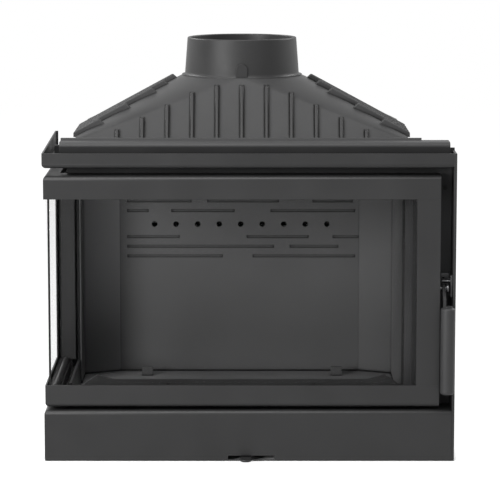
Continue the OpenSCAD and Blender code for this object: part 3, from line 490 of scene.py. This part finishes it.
def merged_copy(node):
    """A bmesh of a CAD node with its doubles merged and its flat faces joined."""
    bm = bmesh.new()
    bm.from_mesh(frame["nodes"][node].data)
    bmesh.ops.remove_doubles(bm, verts=bm.verts, dist=1e-6)
    bmesh.ops.dissolve_limit(
        bm, angle_limit=math.radians(0.5), verts=bm.verts, edges=bm.edges
    )
    return bm


def softened(node, name, finish, radius, segments=2):
    """The same piece with all its sharp edges broken by a small radius."""
    bm = merged_copy(node)
    sharp = [
        e for e in bm.edges if len(e.link_faces) == 2 and e.calc_face_angle(0.0) > SHARP_ANGLE
    ]
    rounded(bm, sharp, radius, segments)
    body = frame["nodes"][node]["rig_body"]
    return piece_from(bm, name, body, finish, (node,))


def folded(nodes, finish, radius, segments=2):
    """Pieces of painted sheet with broken edges."""
    for node in nodes:
        softened(node, node + "_sheet", finish, radius, segments)


def coat(nodes, finish):
    """Gives CAD nodes a finish in place of their plain colour."""
    for node in nodes:
        shape = frame["nodes"][node]
        if not shape.material_slots:
            shape.data.materials.append(FINISHES[finish])
        for slot in shape.material_slots:
            slot.material = FINISHES[finish]


# Settings
def length(name, text, default, low, high):
    return bpy.props.FloatProperty(
        name=name,
        description=text,
        default=default,
        min=low,
        max=high,
        subtype="DISTANCE",
        unit="LENGTH",
    )


def colour(name, text, default):
    return bpy.props.FloatVectorProperty(
        name=name,
        description=text,
        default=default,
        min=0.0,
        max=1.0,
        size=3,
        subtype="COLOR",
    )


class InsertFinishSettings(bpy.types.PropertyGroup):
    """Colours of the finishes."""

    sheet: colour("Sheet paint", "Paint on the casing and the door", (0.0118, 0.0118, 0.0121))
    recess: colour("Inner paint", "Paint on sheets behind the door", (0.0095, 0.0095, 0.0097))
    # The screw tone is near black: the bead screws' own blackening with painted shade in their
    # holes, and painted shade in the guard's holes
    screw: colour("Screws", "Screws of the beads and the guard", (0.0030, 0.0030, 0.0030))
    # The rim paint is a lighter copy of the sheet paint: painted light on the top plate's front
    # edge and on the upper edges of the front plate and the air-wash box
    rim: colour("Rim paint", "Paint on the plate under the hood", (0.0420, 0.0420, 0.0425))
    casting: colour("Casting paint", "Paint on the smoke hood", (0.0300, 0.0300, 0.0304))
    collar: colour("Collar paint", "Paint on the flue collar", (0.0075, 0.0075, 0.0077))
    guard: colour("Guard paint", "Sooty paint on the guard and the grate", (0.0200, 0.0200, 0.0202))
    lining: colour("Lining", "Boards inside the fire chamber", (0.107, 0.107, 0.108))
    metal: colour("Bare steel", "Pins, catch and spindle", (0.085, 0.085, 0.087))
    grip: colour("Grip", "Burnished metal of the grip", (0.0250, 0.0250, 0.0255))
    glass: colour("Glass", "Tint of the glass's reflection", (0.018, 0.018, 0.0184))
    rope: colour("Rope", "Knitted rope of the door seal", (0.016, 0.016, 0.016))


class InsertEdgeSettings(bpy.types.PropertyGroup):
    """Radii to which the edges of sheets, boards and castings are broken."""

    sheet: length("Sheet edges", "Edges of the sheets", 0.0006, 0.0001, 0.001)
    rim: length("Rim edges", "Edges of the plate under the hood", 0.0018, 0.0002, 0.002)
    board: length("Board edges", "Edges of the linings", 0.0012, 0.0002, 0.003)
    cast: length("Cast edges", "Edges of the log guard and the grate", 0.0014, 0.0002, 0.002)
    lug: length("Lug edges", "Edges of the lugs at the linings", 0.0007, 0.0001, 0.001)
    steel: length("Steel edges", "Edges of the latch and its catch", 0.00036, 0.0001, 0.001)


class InsertHoodSettings(bpy.types.PropertyGroup):
    """Shape of the cast smoke hood."""

    corner_round: length("Corner radius", "Radius of the lower corners", 0.016, 0.004, 0.03)
    wall: length("Wall", "Thickness of the hood", 0.0072, 0.004, 0.01)
    rib_round: length("Rib rounding", "Radius of the ribs' outer edges", 0.0022, 0.0005, 0.003)
    fin_round: length("Fin rounding", "Radius of the fins' edges", 0.0024, 0.0005, 0.003)


class InsertStageSettings(bpy.types.PropertyGroup):
    """Floor, light and camera of the studio."""

    camera_height: length("Camera height", "Height above the floor", 1.0424, 0.1, 5)
    camera_distance: length("Camera distance", "Distance from the front plane", 4.5663, 1, 20)
    camera_shift: length("Camera offset", "Place across the width", 0.0011, -1, 1)
    lens: bpy.props.FloatProperty(
        name="Lens", description="Focal length", default=185.81, min=20, max=400, unit="CAMERA"
    )
    pitch: bpy.props.FloatProperty(
        name="Pitch",
        description="How far the camera looks down",
        default=math.radians(8.181),
        subtype="ANGLE",
        unit="ROTATION",
    )
    floor_size: length("Floor", "Width of the floor", 14.0, 4, 60)


# Ribs of the hood: their spacing and width, how far they stand out and how deep their feet go
RIB_PITCH, RIB_WIDTH, RIB_OUT, RIB_ROOT = 0.045, 0.007, 0.009, 0.0056
# Top of the middle ribs, the fall from one to the next, and how many ribs out it begins
RIB_TOP, RIB_FALL, RIB_LEVEL = 0.670, 0.021, 1.38
RIB_SIDE_COUNT = 5
# Fins of the hood: their width, the height of their outer ends and the slope of their tops
FIN_WIDTH, FIN_END, FIN_SLOPE = 0.007, 0.009, 0.54
# Length and fall of the bevel at a fin's head
FIN_BEVEL, FIN_BEVEL_FALL = 0.010, 0.00864
# How far the fins reach past the hood's sides, and how far the first stands behind its front
FIN_REACH, FIN_SETBACK = 0.006, 0.0355
# Lengths of the fins as shares of the hood's half width, from the one beside the collar
FIN_SHARES = (0.5775, 0.527, 0.4575, 0.304, 0.151)
# Front edge of the hood, its gap to the top plate's other edges, and the height of its lip
HOOD_FRONT, HOOD_GAP, HOOD_LIP = FRONT + 0.0745, 0.002, 0.002


def collar_foot():
    """Middle and radius of the flue collar's foot, which the neck of the hood runs into."""
    low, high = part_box("flue_collar")
    radius = (high.x - low.x) / 2
    return Vector(((low.x + high.x) / 2, high.y - radius, 0)), radius


def hood_lean():
    """How much the hood's front slope leans back for each rise."""
    centre, neck = collar_foot()
    low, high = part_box("smoke_hood")
    return (centre.y - neck - HOOD_FRONT) / (high.z - low.z - HOOD_LIP)


# Distances from a rib's side face over which the painted shade on its foot, its own side and its
# crown fades
FOOT_SPAN, SIDE_SPAN, CROWN_SPAN = (0.0006, 0.0024), (-0.0020, -0.0010), (-0.0012, -0.0022)
# How much wider the painted shade on the foot is on a rib's right, as a painted shadow, and how
# strong the painted shade on the crown is beside it
RIGHT_SHADOW_WIDER, CROWN_SHADE_SHARE = 0.0006, 0.3
# How far the painted shade lines reach over a rib's head and behind the front slope
HEAD_SPAN, SLOPE_SPAN = (-0.0005, 0.0015), (0.008, 0.010)


def rib_foot_shade(finish):
    """1 along the feet of the ribs, the mask for painted shade there, with a share of it on the
    ribs' crowns.
    """
    middle = collar_foot()[0].x
    foot_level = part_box("smoke_hood")[0].z + HOOD_LIP
    place = finish.place()
    x, y, z = (finish.part(place, axis) for axis in range(3))
    across = (x - middle) * (1 / RIB_PITCH)
    number = across.math("ROUND", across, 0.0)
    off_rib = across - number
    apart = off_rib.absolute() * RIB_PITCH - RIB_WIDTH / 2
    right = finish.spread(off_rib, -0.02, 0.02)
    foot = finish.spread(apart - right * RIGHT_SHADOW_WIDER, *FOOT_SPAN, 1.0, 0.0)
    foot = foot * finish.spread(apart, *SIDE_SPAN)
    foot = foot.math("MAXIMUM", foot, finish.spread(apart, *CROWN_SPAN) * CROWN_SHADE_SHARE)
    order = number.absolute()
    head = order.math("MINIMUM", (RIB_LEVEL - order) * RIB_FALL, 0.0) + RIB_TOP
    below = finish.spread(z - head, *HEAD_SPAN, 1.0, 0.0)
    behind = y - (z - foot_level) * hood_lean() - HOOD_FRONT
    on_slope = finish.spread(behind, *SLOPE_SPAN, 1.0, 0.0)
    counted = finish.spread(order, RIB_SIDE_COUNT + 0.2, RIB_SIDE_COUNT + 0.4, 1.0, 0.0)
    return foot * below * on_slope * counted


# Height over the hearth below which the boards carry a line of painted shade along their foot
FOOT_LINE = 0.0022
# Height over the top plate below which the hood gets no painted shade in its hollows
LIP_LINE = 0.004
# Width of the painted light along the upper edge of the front plate and of the air-wash box
PLATE_EDGE, WASH_EDGE = 0.008, 0.005
# Length of the hearth's darker front, and how far before the corner board its painted shade begins
HEARTH_DARK_FRONT, CORNER_LEAD = 0.04, 0.004
# Tones of single pieces as shares of the colours in the settings; the front plate's is painted
# light in its recess, the air-wash box's painted shade behind the strip, and the front edge's a
# painted highlight
FRONT_SHARE, FRONT_EDGE_SHARE, WASH_SHARE = 3.2, 1.25, 0.88
# The corner and right boards' shares make lighter copies of the lining, painted light
CORNER_SHARE, RIGHT_SHARE, HEARTH_SHARE, LUG_SHARE = 2.7, 1.32, 2.1, 0.8
# Tones of the painted shade at the front ends of the corner board and the hearth, and of the right
# lining
END_SHARE, RIGHT_END_SHARE = 0.5, 0.33


class INSERT_OT_finishes(bpy.types.Operator):
    """Mixes the paints, boards, metals, glass and rope"""

    bl_idname = "insert.finishes"
    bl_label = "Mix the Finishes"

    def execute(self, context):
        tones = context.scene.insert_finishes
        FINISHES["sheet"] = painted_sheet("black_sheet_paint", tones.sheet)
        FINISHES["recess"] = painted_sheet("inner_sheet_paint", tones.recess, INNER_GLOSS)
        # The front plate is painted lighter than the inner paint and the air-wash box darker than
        # the sheet paint, painted light and shade, each with painted light on its upper edge
        FINISHES["front"] = inner_sheet(
            "front_plate_paint",
            shade(tones.recess, FRONT_SHARE),
            shade(tones.rim, FRONT_EDGE_SHARE),
            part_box("front_plate")[1].z - PLATE_EDGE,
        )
        FINISHES["wash"] = inner_sheet(
            "air_wash_paint",
            shade(tones.sheet, WASH_SHARE),
            tones.rim,
            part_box("air_wash_box")[1].z - WASH_EDGE,
        )
        # Near-black paint of the bead screws, partly painted shade, and of the guard's plugs,
        # painted shade
        FINISHES["screw"] = painted_sheet("blackened_screw_shade", tones.screw, 0.1)
        # Painted light: the top plate takes the lighter rim paint, with painted shade only within a
        # millimetre of its corners
        FINISHES["rim"] = painted_sheet("rim_lit_paint", tones.rim, 0.4, 0.001)
        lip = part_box("smoke_hood")[0].z + LIP_LINE
        FINISHES["casting"] = cast_skin("cast_iron_paint", tones.casting, 0.22, rib_foot_shade, lip)
        FINISHES["collar"] = cast_skin("collar_paint", tones.collar)
        FINISHES["guard"] = cast_skin("sooty_cast_iron", tones.guard, 0.16)
        FINISHES["lug"] = cast_skin("lug_paint", shade(tones.lining, LUG_SHARE), 0.16)
        self.boards(tones.lining)
        FINISHES["metal"] = bare_metal("bare_steel", tones.metal, (1, 12, 1))
        FINISHES["grip"] = bare_metal("burnished_grip", tones.grip, (12, 12, 1), 0.4, 0.1, 0.25)
        FINISHES["glass"] = ceramic_glass("ceramic_glass", tones.glass, 0.05)
        FINISHES["rope"] = knitted_rope("knitted_rope", tones.rope)
        return {"FINISHED"}

    def boards(self, tone):
        """Linings and hearth; those beside the door darken towards their front ends as painted
        shade, and the corner and right boards are lighter copies of the lining, painted light.
        """
        hearth_low, hearth_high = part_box("hearth_tiles")
        foot = hearth_high.z + FOOT_LINE
        FINISHES["lining"] = lining_board("lining_board", tone, foot=foot)
        low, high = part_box("left_corner_lining")
        near = (low.y - CORNER_LEAD, high.y, END_SHARE)
        board = shade(tone, CORNER_SHARE)
        FINISHES["corner"] = lining_board("corner_lining_board", board, near, foot)
        low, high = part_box("right_lining")
        near = (low.y, high.y, RIGHT_END_SHARE)
        board = shade(tone, RIGHT_SHARE)
        FINISHES["right"] = lining_board("right_lining_board", board, near, foot)
        near = (hearth_low.y, hearth_low.y + HEARTH_DARK_FRONT, END_SHARE)
        FINISHES["hearth"] = lining_board("hearth_tile", shade(tone, HEARTH_SHARE), near)


class INSERT_OT_casing(bpy.types.Operator):
    """Folds the plinth, the top strip, the side panel and their brackets"""

    bl_idname = "insert.casing"
    bl_label = "Fold the Casing"

    def execute(self, context):
        casing = ("plinth", "top_strip", "right_side_panel", "strip_brackets")
        folded(casing, "sheet", context.scene.insert_edges.sheet)
        return {"FINISHED"}


class INSERT_OT_firebox(bpy.types.Operator):
    """Breaks the edges of the firebox plates and the air-wash box"""

    bl_idname = "insert.firebox"
    bl_label = "Build the Firebox"

    def execute(self, context):
        edges = context.scene.insert_edges
        folded(("front_plate",), "front", edges.sheet)
        folded(("air_wash_box",), "wash", edges.sheet)
        walls = ("left_wall", "right_wall", "rear_wall", "shoulder_plate", "upper_walls")
        folded((*walls, "base_plate"), "sheet", edges.sheet)
        folded(("top_plate",), "rim", edges.rim, 3)
        coat(("floor_plate", "rear_air_duct", "upper_baffle", "baffle_rests"), "recess")
        coat(("ash_pan", "slider_guides"), "recess")
        return {"FINISHED"}


class INSERT_OT_hood(bpy.types.Operator):
    """Casts the smoke hood with its ribs and fins"""

    bl_idname = "insert.hood"
    bl_label = "Cast the Smoke Hood"

    def execute(self, context):
        hood = context.scene.insert_hood
        plate_low, plate_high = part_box("top_plate")
        hood_low, hood_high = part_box("smoke_hood")
        left, right = plate_low.x + HOOD_GAP, plate_high.x - HOOD_GAP
        front, rear = HOOD_FRONT, plate_high.y - HOOD_GAP
        foot, shoulder = hood_low.z + HOOD_LIP, hood_high.z - HOOD_LIP
        centre, neck = collar_foot()
        bm = bmesh.new()
        # The straight block whose top is then drawn in to the round neck
        verts = box_shape(bm, (left, front, foot), (right, rear, shoulder))
        rounded(bm, edges_of(verts, lambda e: along(e, (0, 0, 1))), hood.corner_round, 16)
        ends = [f for f in bm.faces if abs(f.normal.z) > 0.9]
        bmesh.ops.delete(bm, geom=ends, context="FACES_ONLY")
        middle = Vector(((left + right) / 2, (front + rear) / 2, (foot + shoulder) / 2))
        for vert in bm.verts:
            if vert.co.z > middle.z:
                side_x = 1 if vert.co.x > middle.x else -1
                side_y = 1 if vert.co.y > middle.y else -1
                corner_x = (right if side_x > 0 else left) - side_x * hood.corner_round
                corner_y = (rear if side_y > 0 else front) - side_y * hood.corner_round
                turn = Vector((vert.co.x - corner_x, vert.co.y - corner_y, 0)).normalized()
                vert.co = centre + turn * neck + Vector((0, 0, vert.co.z))
        bmesh.ops.remove_doubles(bm, verts=bm.verts, dist=1e-5)
        self.lip(bm, foot, -HOOD_LIP)
        self.lip(bm, shoulder, HOOD_LIP)
        bmesh.ops.recalc_face_normals(bm, faces=bm.faces)
        if sum(f.normal.z * f.calc_area() for f in bm.faces) < 0:
            bmesh.ops.reverse_faces(bm, faces=bm.faces)
        bmesh.ops.solidify(bm, geom=bm.faces[:], thickness=hood.wall)
        self.ribs(bm, centre.x, foot, hood.rib_round)
        self.fins(bm, centre.y, hood_low.z, left, right, hood.fin_round)
        piece_from(bm, "hood_casting", "firebox", "casting", ("smoke_hood",), 28)
        return {"FINISHED"}

    def lip(self, bm, level, step):
        """Draws an open rim of the shell on by an upright step."""
        rim = [
            e
            for e in bm.edges
            if e.is_boundary and all(abs(v.co.z - level) < 1e-6 for v in e.verts)
        ]
        made = bmesh.ops.extrude_edge_only(bm, edges=rim)["geom"]
        verts = [g for g in made if isinstance(g, bmesh.types.BMVert)]
        bmesh.ops.translate(bm, vec=(0, 0, step), verts=verts)

    def ribs(self, bm, middle, low, radius):
        """Upright ribs on the front slope, shorter towards the sides."""
        lean = hood_lean()
        for step in range(-RIB_SIDE_COUNT, RIB_SIDE_COUNT + 1):
            high = RIB_TOP + min(0.0, (RIB_LEVEL - abs(step)) * RIB_FALL)
            head = HOOD_FRONT + (high - low) * lean
            outline = [
                (HOOD_FRONT - RIB_OUT, low),
                (head - RIB_OUT, high),
                (head + RIB_ROOT, high),
                (HOOD_FRONT + RIB_ROOT, low),
            ]
            x = middle + step * RIB_PITCH
            verts = slab(bm, outline, (x - RIB_WIDTH / 2, x + RIB_WIDTH / 2), "X")

            def outer(edge):
                """True on the rib's top and along the two edges of its front."""
                first, last = (v.co for v in edge.verts)
                if abs(first.z - high) < 1e-6 and abs(last.z - high) < 1e-6:
                    return True
                ahead = all(
                    co.y < HOOD_FRONT + (co.z - low) * lean - RIB_OUT / 2 for co in (first, last)
                )
                return ahead and abs(first.z - last.z) > 0.001

            rounded(bm, edges_of(verts, outer), radius, 4)

    def fins(self, bm, collar_y, low, left, right, radius):
        """Fins on the side slopes, from the collar's axis to the front."""
        middle, reach = (left + right) / 2, (right - left) / 2 + FIN_REACH
        pitch = (collar_y - HOOD_FRONT - FIN_SETBACK) / (len(FIN_SHARES) - 1)
        for step, share in enumerate(FIN_SHARES):
            head = reach - reach * share
            high = low + FIN_END + reach * share * FIN_SLOPE
            y = collar_y - step * pitch
            for side in (-1, 1):
                outline = [
                    (middle + side * reach, low),
                    (middle + side * reach, low + FIN_END),
                    (middle + side * head, high),
                    (middle + side * (head - FIN_BEVEL), high - FIN_BEVEL_FALL),
                    (middle + side * (head - FIN_BEVEL), low),
                ]
                verts = slab(bm, outline, (y - FIN_WIDTH / 2, y + FIN_WIDTH / 2), "Y")
                upper = edges_of(verts, lambda e: all(v.co.z > low + 0.001 for v in e.verts))
                rounded(bm, upper, radius, 4)


class INSERT_OT_collar(bpy.types.Operator):
    """Turns the flue collar and casts its lug"""

    bl_idname = "insert.collar"
    bl_label = "Cast the Flue Collar"

    def execute(self, context):
        low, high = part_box("flue_collar")
        centre, foot = collar_foot()
        bore, waist, rim, rounding, fillet = 0.095, 0.106, 0.1015, 0.002, 0.010
        quarter = arc(0, 9, 11)
        profile = [(bore, low.z), (foot, low.z)]
        profile += [
            (foot - (foot - waist) * math.sin(a), low.z + fillet * (1 - math.cos(a)))
            for a in quarter[1:]
        ]
        profile += round_rim(rim, high.z, rounding, quarter)
        profile += [
            (bore + rounding * (1 - math.sin(a)), high.z - rounding * (1 - math.cos(a)))
            for a in quarter
        ]
        bm = bmesh.new()
        spun(bm, profile, centre, 128)
        self.lug(bm, centre, centre.y - waist, centre.y - bore, low.z)
        piece_from(bm, "collar_casting", "firebox", "collar", ("flue_collar",), 32)
        return {"FINISHED"}

    def lug(self, bm, centre, skin, bore, level):
        """The round-headed lug on the front of the collar, set into its wall."""
        width, height, out, gap, edge_round = 0.0205, 0.0285, 0.003, 0.0005, 0.0014
        face = skin - out
        verts = box_shape(
            bm,
            (centre.x - width / 2, face, level + gap),
            (centre.x + width / 2, bore - out, level + height),
        )
        head = edges_of(
            verts,
            lambda e: along(e, (0, 1, 0)) and all(v.co.z > level + 0.01 for v in e.verts),
        )
        # A little less than half the width, so that the two arcs don't meet
        rounded(bm, head, width * 0.499, 12)
        nose = [
            e
            for e in bm.edges
            if all(abs(v.co.y - face) < 1e-5 for v in e.verts)
            and all(abs(v.co.x - centre.x) < width for v in e.verts)
            and len(e.link_faces) == 2
            and e.calc_face_angle(0.0) > 0.7
        ]
        rounded(bm, nose, edge_round, 3)


class INSERT_OT_linings(bpy.types.Operator):
    """Cuts the lining boards, the baffle and the hearth tiles"""

    bl_idname = "insert.linings"
    bl_label = "Cut the Linings"

    def execute(self, context):
        edge = context.scene.insert_edges.board
        for node in ("rear_lining", "left_lining", "right_corner_lining", "lower_baffle"):
            softened(node, node + "_board", "lining", edge)
        softened("left_corner_lining", "left_corner_board", "corner", edge)
        softened("right_lining", "right_lining_board", "right", edge)
        softened("hearth_tiles", "hearth_tiles_board", "hearth", edge)
        return {"FINISHED"}


# Holes in the log guard, closed with dark plugs of painted shade: how far out on its half width,
# and their height
GUARD_HOLE_OUT_SHARE, GUARD_HOLE_LEVEL = 0.46, 0.129
# The plugs' radius, and how far they stand back in their holes
GUARD_PLUG, GUARD_PLUG_BACK = 0.0028, 0.001


class INSERT_OT_small_castings(bpy.types.Operator):
    """Casts the log guard, the grate and the lugs"""

    bl_idname = "insert.small_castings"
    bl_label = "Cast the Guard and the Grate"

    def execute(self, context):
        edges = context.scene.insert_edges
        for node in ("log_guard", "grate"):
            softened(node, node + "_casting", "guard", edges.cast, 3)
        softened("lining_lugs", "lining_lugs_casting", "lug", edges.lug, 3)
        self.plugs()
        return {"FINISHED"}

    def plugs(self):
        """Closes the guard's two small holes with near-black plugs, painted shade in the holes."""
        low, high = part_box("log_guard")
        middle, half = (low.x + high.x) / 2, (high.x - low.x) / 2
        bm = bmesh.new()
        for side in (-1, 1):
            hole = (middle + side * GUARD_HOLE_OUT_SHARE * half, GUARD_HOLE_LEVEL)
            outline = circle(hole, GUARD_PLUG, arc(0, 22.5, 16))
            slab(bm, outline, (low.y + GUARD_PLUG_BACK, high.y - GUARD_PLUG_BACK), "Y")
        piece_from(bm, "guard_hole_shade_plugs", "firebox", "screw")


# Rolled edge of the side bead: its radius and the rounding of its ends
ROLL, ROLL_EDGE = 0.0065, 0.0008
# How far it lies behind the bead's outer face and below the rail's top
ROLL_IN, ROLL_BELOW = 0.008, 0.0005
# How much shorter it is than the beads at the front and at the rear
ROLL_FRONT_GAP, ROLL_REAR_GAP = 0.006, 0.0142


class INSERT_OT_door(bpy.types.Operator):
    """Folds the door's rails, stiles and glass beads"""

    bl_idname = "insert.door"
    bl_label = "Fold the Door"

    def execute(self, context):
        sheets = ("door_top_rail", "door_bottom_rail", "door_front_stile", "door_rear_stile")
        folded((*sheets, "glass_beads"), "sheet", context.scene.insert_edges.sheet)
        self.side_roll()
        coat(("hinge_blocks", "latch_bush"), "sheet")
        coat(("bead_screws",), "screw")
        return {"FINISHED"}

    def side_roll(self):
        """The rolled edge of the sloped bead below the side pane."""
        low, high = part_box("glass_beads")
        rail_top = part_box("door_bottom_rail")[1].z
        # A round bar that is flat below, where it lies on the bead
        outline = circle((low.x + ROLL_IN, rail_top - ROLL - ROLL_BELOW), ROLL, arc(-40, 8, 34))
        bm = bmesh.new()
        verts = slab(bm, outline, (low.y + ROLL_FRONT_GAP, high.y - ROLL_REAR_GAP), "Y")
        ends = edges_of(verts, lambda e: abs(e.verts[0].co.y - e.verts[1].co.y) < 1e-6)
        rounded(bm, ends, ROLL_EDGE, 2)
        piece_from(bm, "side_bead_roll", "door", "sheet")


class INSERT_OT_glass(bpy.types.Operator):
    """Sets the two panes and their corner seal"""

    bl_idname = "insert.glass"
    bl_label = "Set the Glass"

    def execute(self, context):
        edge = context.scene.insert_edges.sheet
        for node in ("front_glass", "side_glass"):
            pane = softened(node, node + "_pane", "glass", edge)
            # Light that the boards throw back passes a pane unweakened
            pane.visible_diffuse = False
        coat(("glass_corner_seal", "glass_seals"), "rope")
        return {"FINISHED"}


class INSERT_OT_rope(bpy.types.Operator):
    """Lays the rope seal round the door"""

    bl_idname = "insert.rope"
    bl_label = "Lay the Rope Seal"

    def execute(self, context):
        coat(("door_rope_seal",), "rope")
        return {"FINISHED"}


class INSERT_OT_latch(bpy.types.Operator):
    """Makes the handle, the latch and its catch"""

    bl_idname = "insert.latch"
    bl_label = "Make the Latch"

    def execute(self, context):
        edges = context.scene.insert_edges
        softened("handle_lever", "handle_lever_arm", "sheet", edges.sheet)
        self.grip()
        for node in ("latch_spindle", "latch_hook", "latch_catch", "strike_plate"):
            softened(node, node + "_steel", "metal", edges.steel)
        coat(("recess_screws",), "recess")
        return {"FINISHED"}

    def grip(self):
        """A turned bar with round ends and a fine bore."""
        low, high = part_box("handle_grip")
        radius = (high.x - low.x) / 2
        rounding, bore, sunk = radius * 0.4, radius * 0.2, 0.004
        quarter = arc(0, 10, 10)
        profile = [(bore, low.z)]
        profile += [
            (radius - rounding * (1 - math.sin(a)), low.z + rounding * (1 - math.cos(a)))
            for a in quarter
        ]
        profile += round_rim(radius, high.z, rounding, quarter)
        profile += [(bore, high.z), (bore, high.z - sunk), (bore, low.z + sunk)]
        bm = bmesh.new()
        spun(bm, profile, (low + high) / 2, 64)
        piece_from(bm, "grip_turned", "latch", "grip", ("handle_grip",), 32)


class INSERT_OT_small_parts(bpy.types.Operator):
    """Makes the hinges, bolts, feet, air spigot and air slider"""

    bl_idname = "insert.small_parts"
    bl_label = "Make the Small Parts"

    def execute(self, context):
        sheets = ("hinge_brackets", "air_lever", "air_shutter", "levelling_feet")
        folded((*sheets, "air_inlet_spigot"), "sheet", context.scene.insert_edges.sheet)
        coat(("hinge_pins", "hood_bolts"), "metal")
        return {"FINISHED"}


# Lamps: name, place, height of the point they aim at, width and height, and power
LAMPS = (
    ("lamp_front", (-3.2, -3.9, 1.3), 0.35, (1.6, 1.6), 200),
    ("lamp_top", (-0.4, -2.0, 3.0), 0.5, (3.6, 1.0), 140),
    ("lamp_right", (3.0, 1.6, 2.4), 0.5, (1.2, 1.2), 80),
    ("lamp_left", (-3.0, 1.6, 2.4), 0.5, (1.2, 1.2), 110),
)
# Strength of the world's light on the object; to the eye and in mirrors it is plain white
WORLD_LIGHT = 0.14
# Half width and half depth of the floor under the insert, which shows its shadow alone
SHADOW_WIDTH, SHADOW_DEPTH = 0.37, 0.237
# The open floor: the strength of its white, and how much of the white covers the shadow
FLOOR_WHITE, FLOOR_COVER = 1.2, 0.8


class INSERT_OT_stage(bpy.types.Operator):
    """Sets the floor, the light and the camera"""

    bl_idname = "insert.stage"
    bl_label = "Set the Stage"

    def execute(self, context):
        stage = context.scene.insert_stage
        self.floor(context, stage)
        self.world(context)
        for lamp in LAMPS:
            self.lamp(context, *lamp)
        self.camera(context, stage)
        return {"FINISHED"}

    def floor(self, context, stage):
        bm = bmesh.new()
        bmesh.ops.create_grid(bm, x_segments=1, y_segments=1, size=stage.floor_size / 2)
        mesh = bpy.data.meshes.new("studio_floor")
        bm.to_mesh(mesh)
        bm.free()
        floor = bpy.data.objects.new("studio_floor", mesh)
        context.scene.collection.objects.link(floor)
        finish = Finish("studio_floor")
        shadow = finish.node("ShaderNodeBsdfDiffuse", {}, {"Color": (0.9, 0.9, 0.9, 1)})
        white = finish.node(
            "ShaderNodeEmission", {}, {"Color": (1, 1, 1, 1), "Strength": FLOOR_WHITE}
        )
        place = finish.place()
        across, back = (finish.part(place, axis).absolute() for axis in (0, 1))
        clear = across.math("MAXIMUM", across - SHADOW_WIDTH, back - SHADOW_DEPTH)
        cover = self.seen(finish) * finish.spread(clear, 0.0, 0.01) * FLOOR_COVER
        both = finish.node("ShaderNodeMixShader", {}, {0: cover, 1: shadow, 2: white})
        finish.node("ShaderNodeOutputMaterial", {}, {"Surface": both})
        floor.data.materials.append(finish.material)

    def seen(self, finish):
        """1 for rays from the camera, from a mirror or through glass."""
        names = ("Is Camera Ray", "Is Glossy Ray", "Is Transmission Ray")
        rays = [finish.node("ShaderNodeLightPath", output=name) for name in names]
        return finish.spread(rays[0] + rays[1] + rays[2], 0.0, 1.0)

    def world(self, context):
        world = bpy.data.worlds.new("studio_world")
        context.scene.world = world
        world.use_nodes = True
        finish = Finish("studio_world", world.node_tree)
        strength = WORLD_LIGHT + self.seen(finish) * (1 - WORLD_LIGHT)
        back = finish.node(
            "ShaderNodeBackground", {}, {"Color": (1, 1, 1, 1), "Strength": strength}
        )
        finish.node("ShaderNodeOutputWorld", {}, {"Surface": back})
        context.scene.view_settings.view_transform = "Standard"

    def lamp(self, context, name, place, aim_height, size, power):
        light = bpy.data.lights.new(name, "AREA")
        light.shape = "RECTANGLE"
        light.size, light.size_y = size
        light.energy = power
        made = bpy.data.objects.new(name, light)
        context.scene.collection.objects.link(made)
        made.location = place
        line = Vector((0, 0, aim_height)) - Vector(place)
        made.rotation_euler = line.to_track_quat("-Z", "Y").to_euler()

    def camera(self, context, stage):
        data = bpy.data.cameras.new("camera")
        data.lens = stage.lens
        data.sensor_width = 36
        data.clip_end = 100
        made = bpy.data.objects.new("camera", data)
        context.scene.collection.objects.link(made)
        made.location = (stage.camera_shift, FRONT - stage.camera_distance, stage.camera_height)
        made.rotation_euler = (math.pi / 2 - stage.pitch, 0, 0)
        context.scene.camera = made


OPERATORS = (
    INSERT_OT_finishes,
    INSERT_OT_casing,
    INSERT_OT_firebox,
    INSERT_OT_hood,
    INSERT_OT_collar,
    INSERT_OT_linings,
    INSERT_OT_small_castings,
    INSERT_OT_door,
    INSERT_OT_glass,
    INSERT_OT_rope,
    INSERT_OT_latch,
    INSERT_OT_small_parts,
    INSERT_OT_stage,
)


class INSERT_PT_panel(bpy.types.Panel):
    """The steps that dress the insert, in order."""

    bl_idname = "INSERT_PT_panel"
    bl_label = "Fireplace Insert"
    bl_space_type = "VIEW_3D"
    bl_region_type = "UI"
    bl_category = "Fireplace Insert"

    def draw(self, context):
        column = self.layout.column()
        for step in OPERATORS:
            column.operator(step.bl_idname)


SETTINGS = {
    "insert_finishes": InsertFinishSettings,
    "insert_edges": InsertEdgeSettings,
    "insert_hood": InsertHoodSettings,
    "insert_stage": InsertStageSettings,
}
CLASSES = (*SETTINGS.values(), *OPERATORS, INSERT_PT_panel)


def register():
    for made in CLASSES:
        bpy.utils.register_class(made)
    for name, group in SETTINGS.items():
        setattr(bpy.types.Scene, name, bpy.props.PointerProperty(type=group))


def unregister():
    for name in SETTINGS:
        delattr(bpy.types.Scene, name)
    for made in reversed(CLASSES):
        bpy.utils.unregister_class(made)


def main():
    register()
    for step in OPERATORS:
        family, name = step.bl_idname.split(".")
        getattr(getattr(bpy.ops, family), name)()


if __name__ == "__main__":
    main()
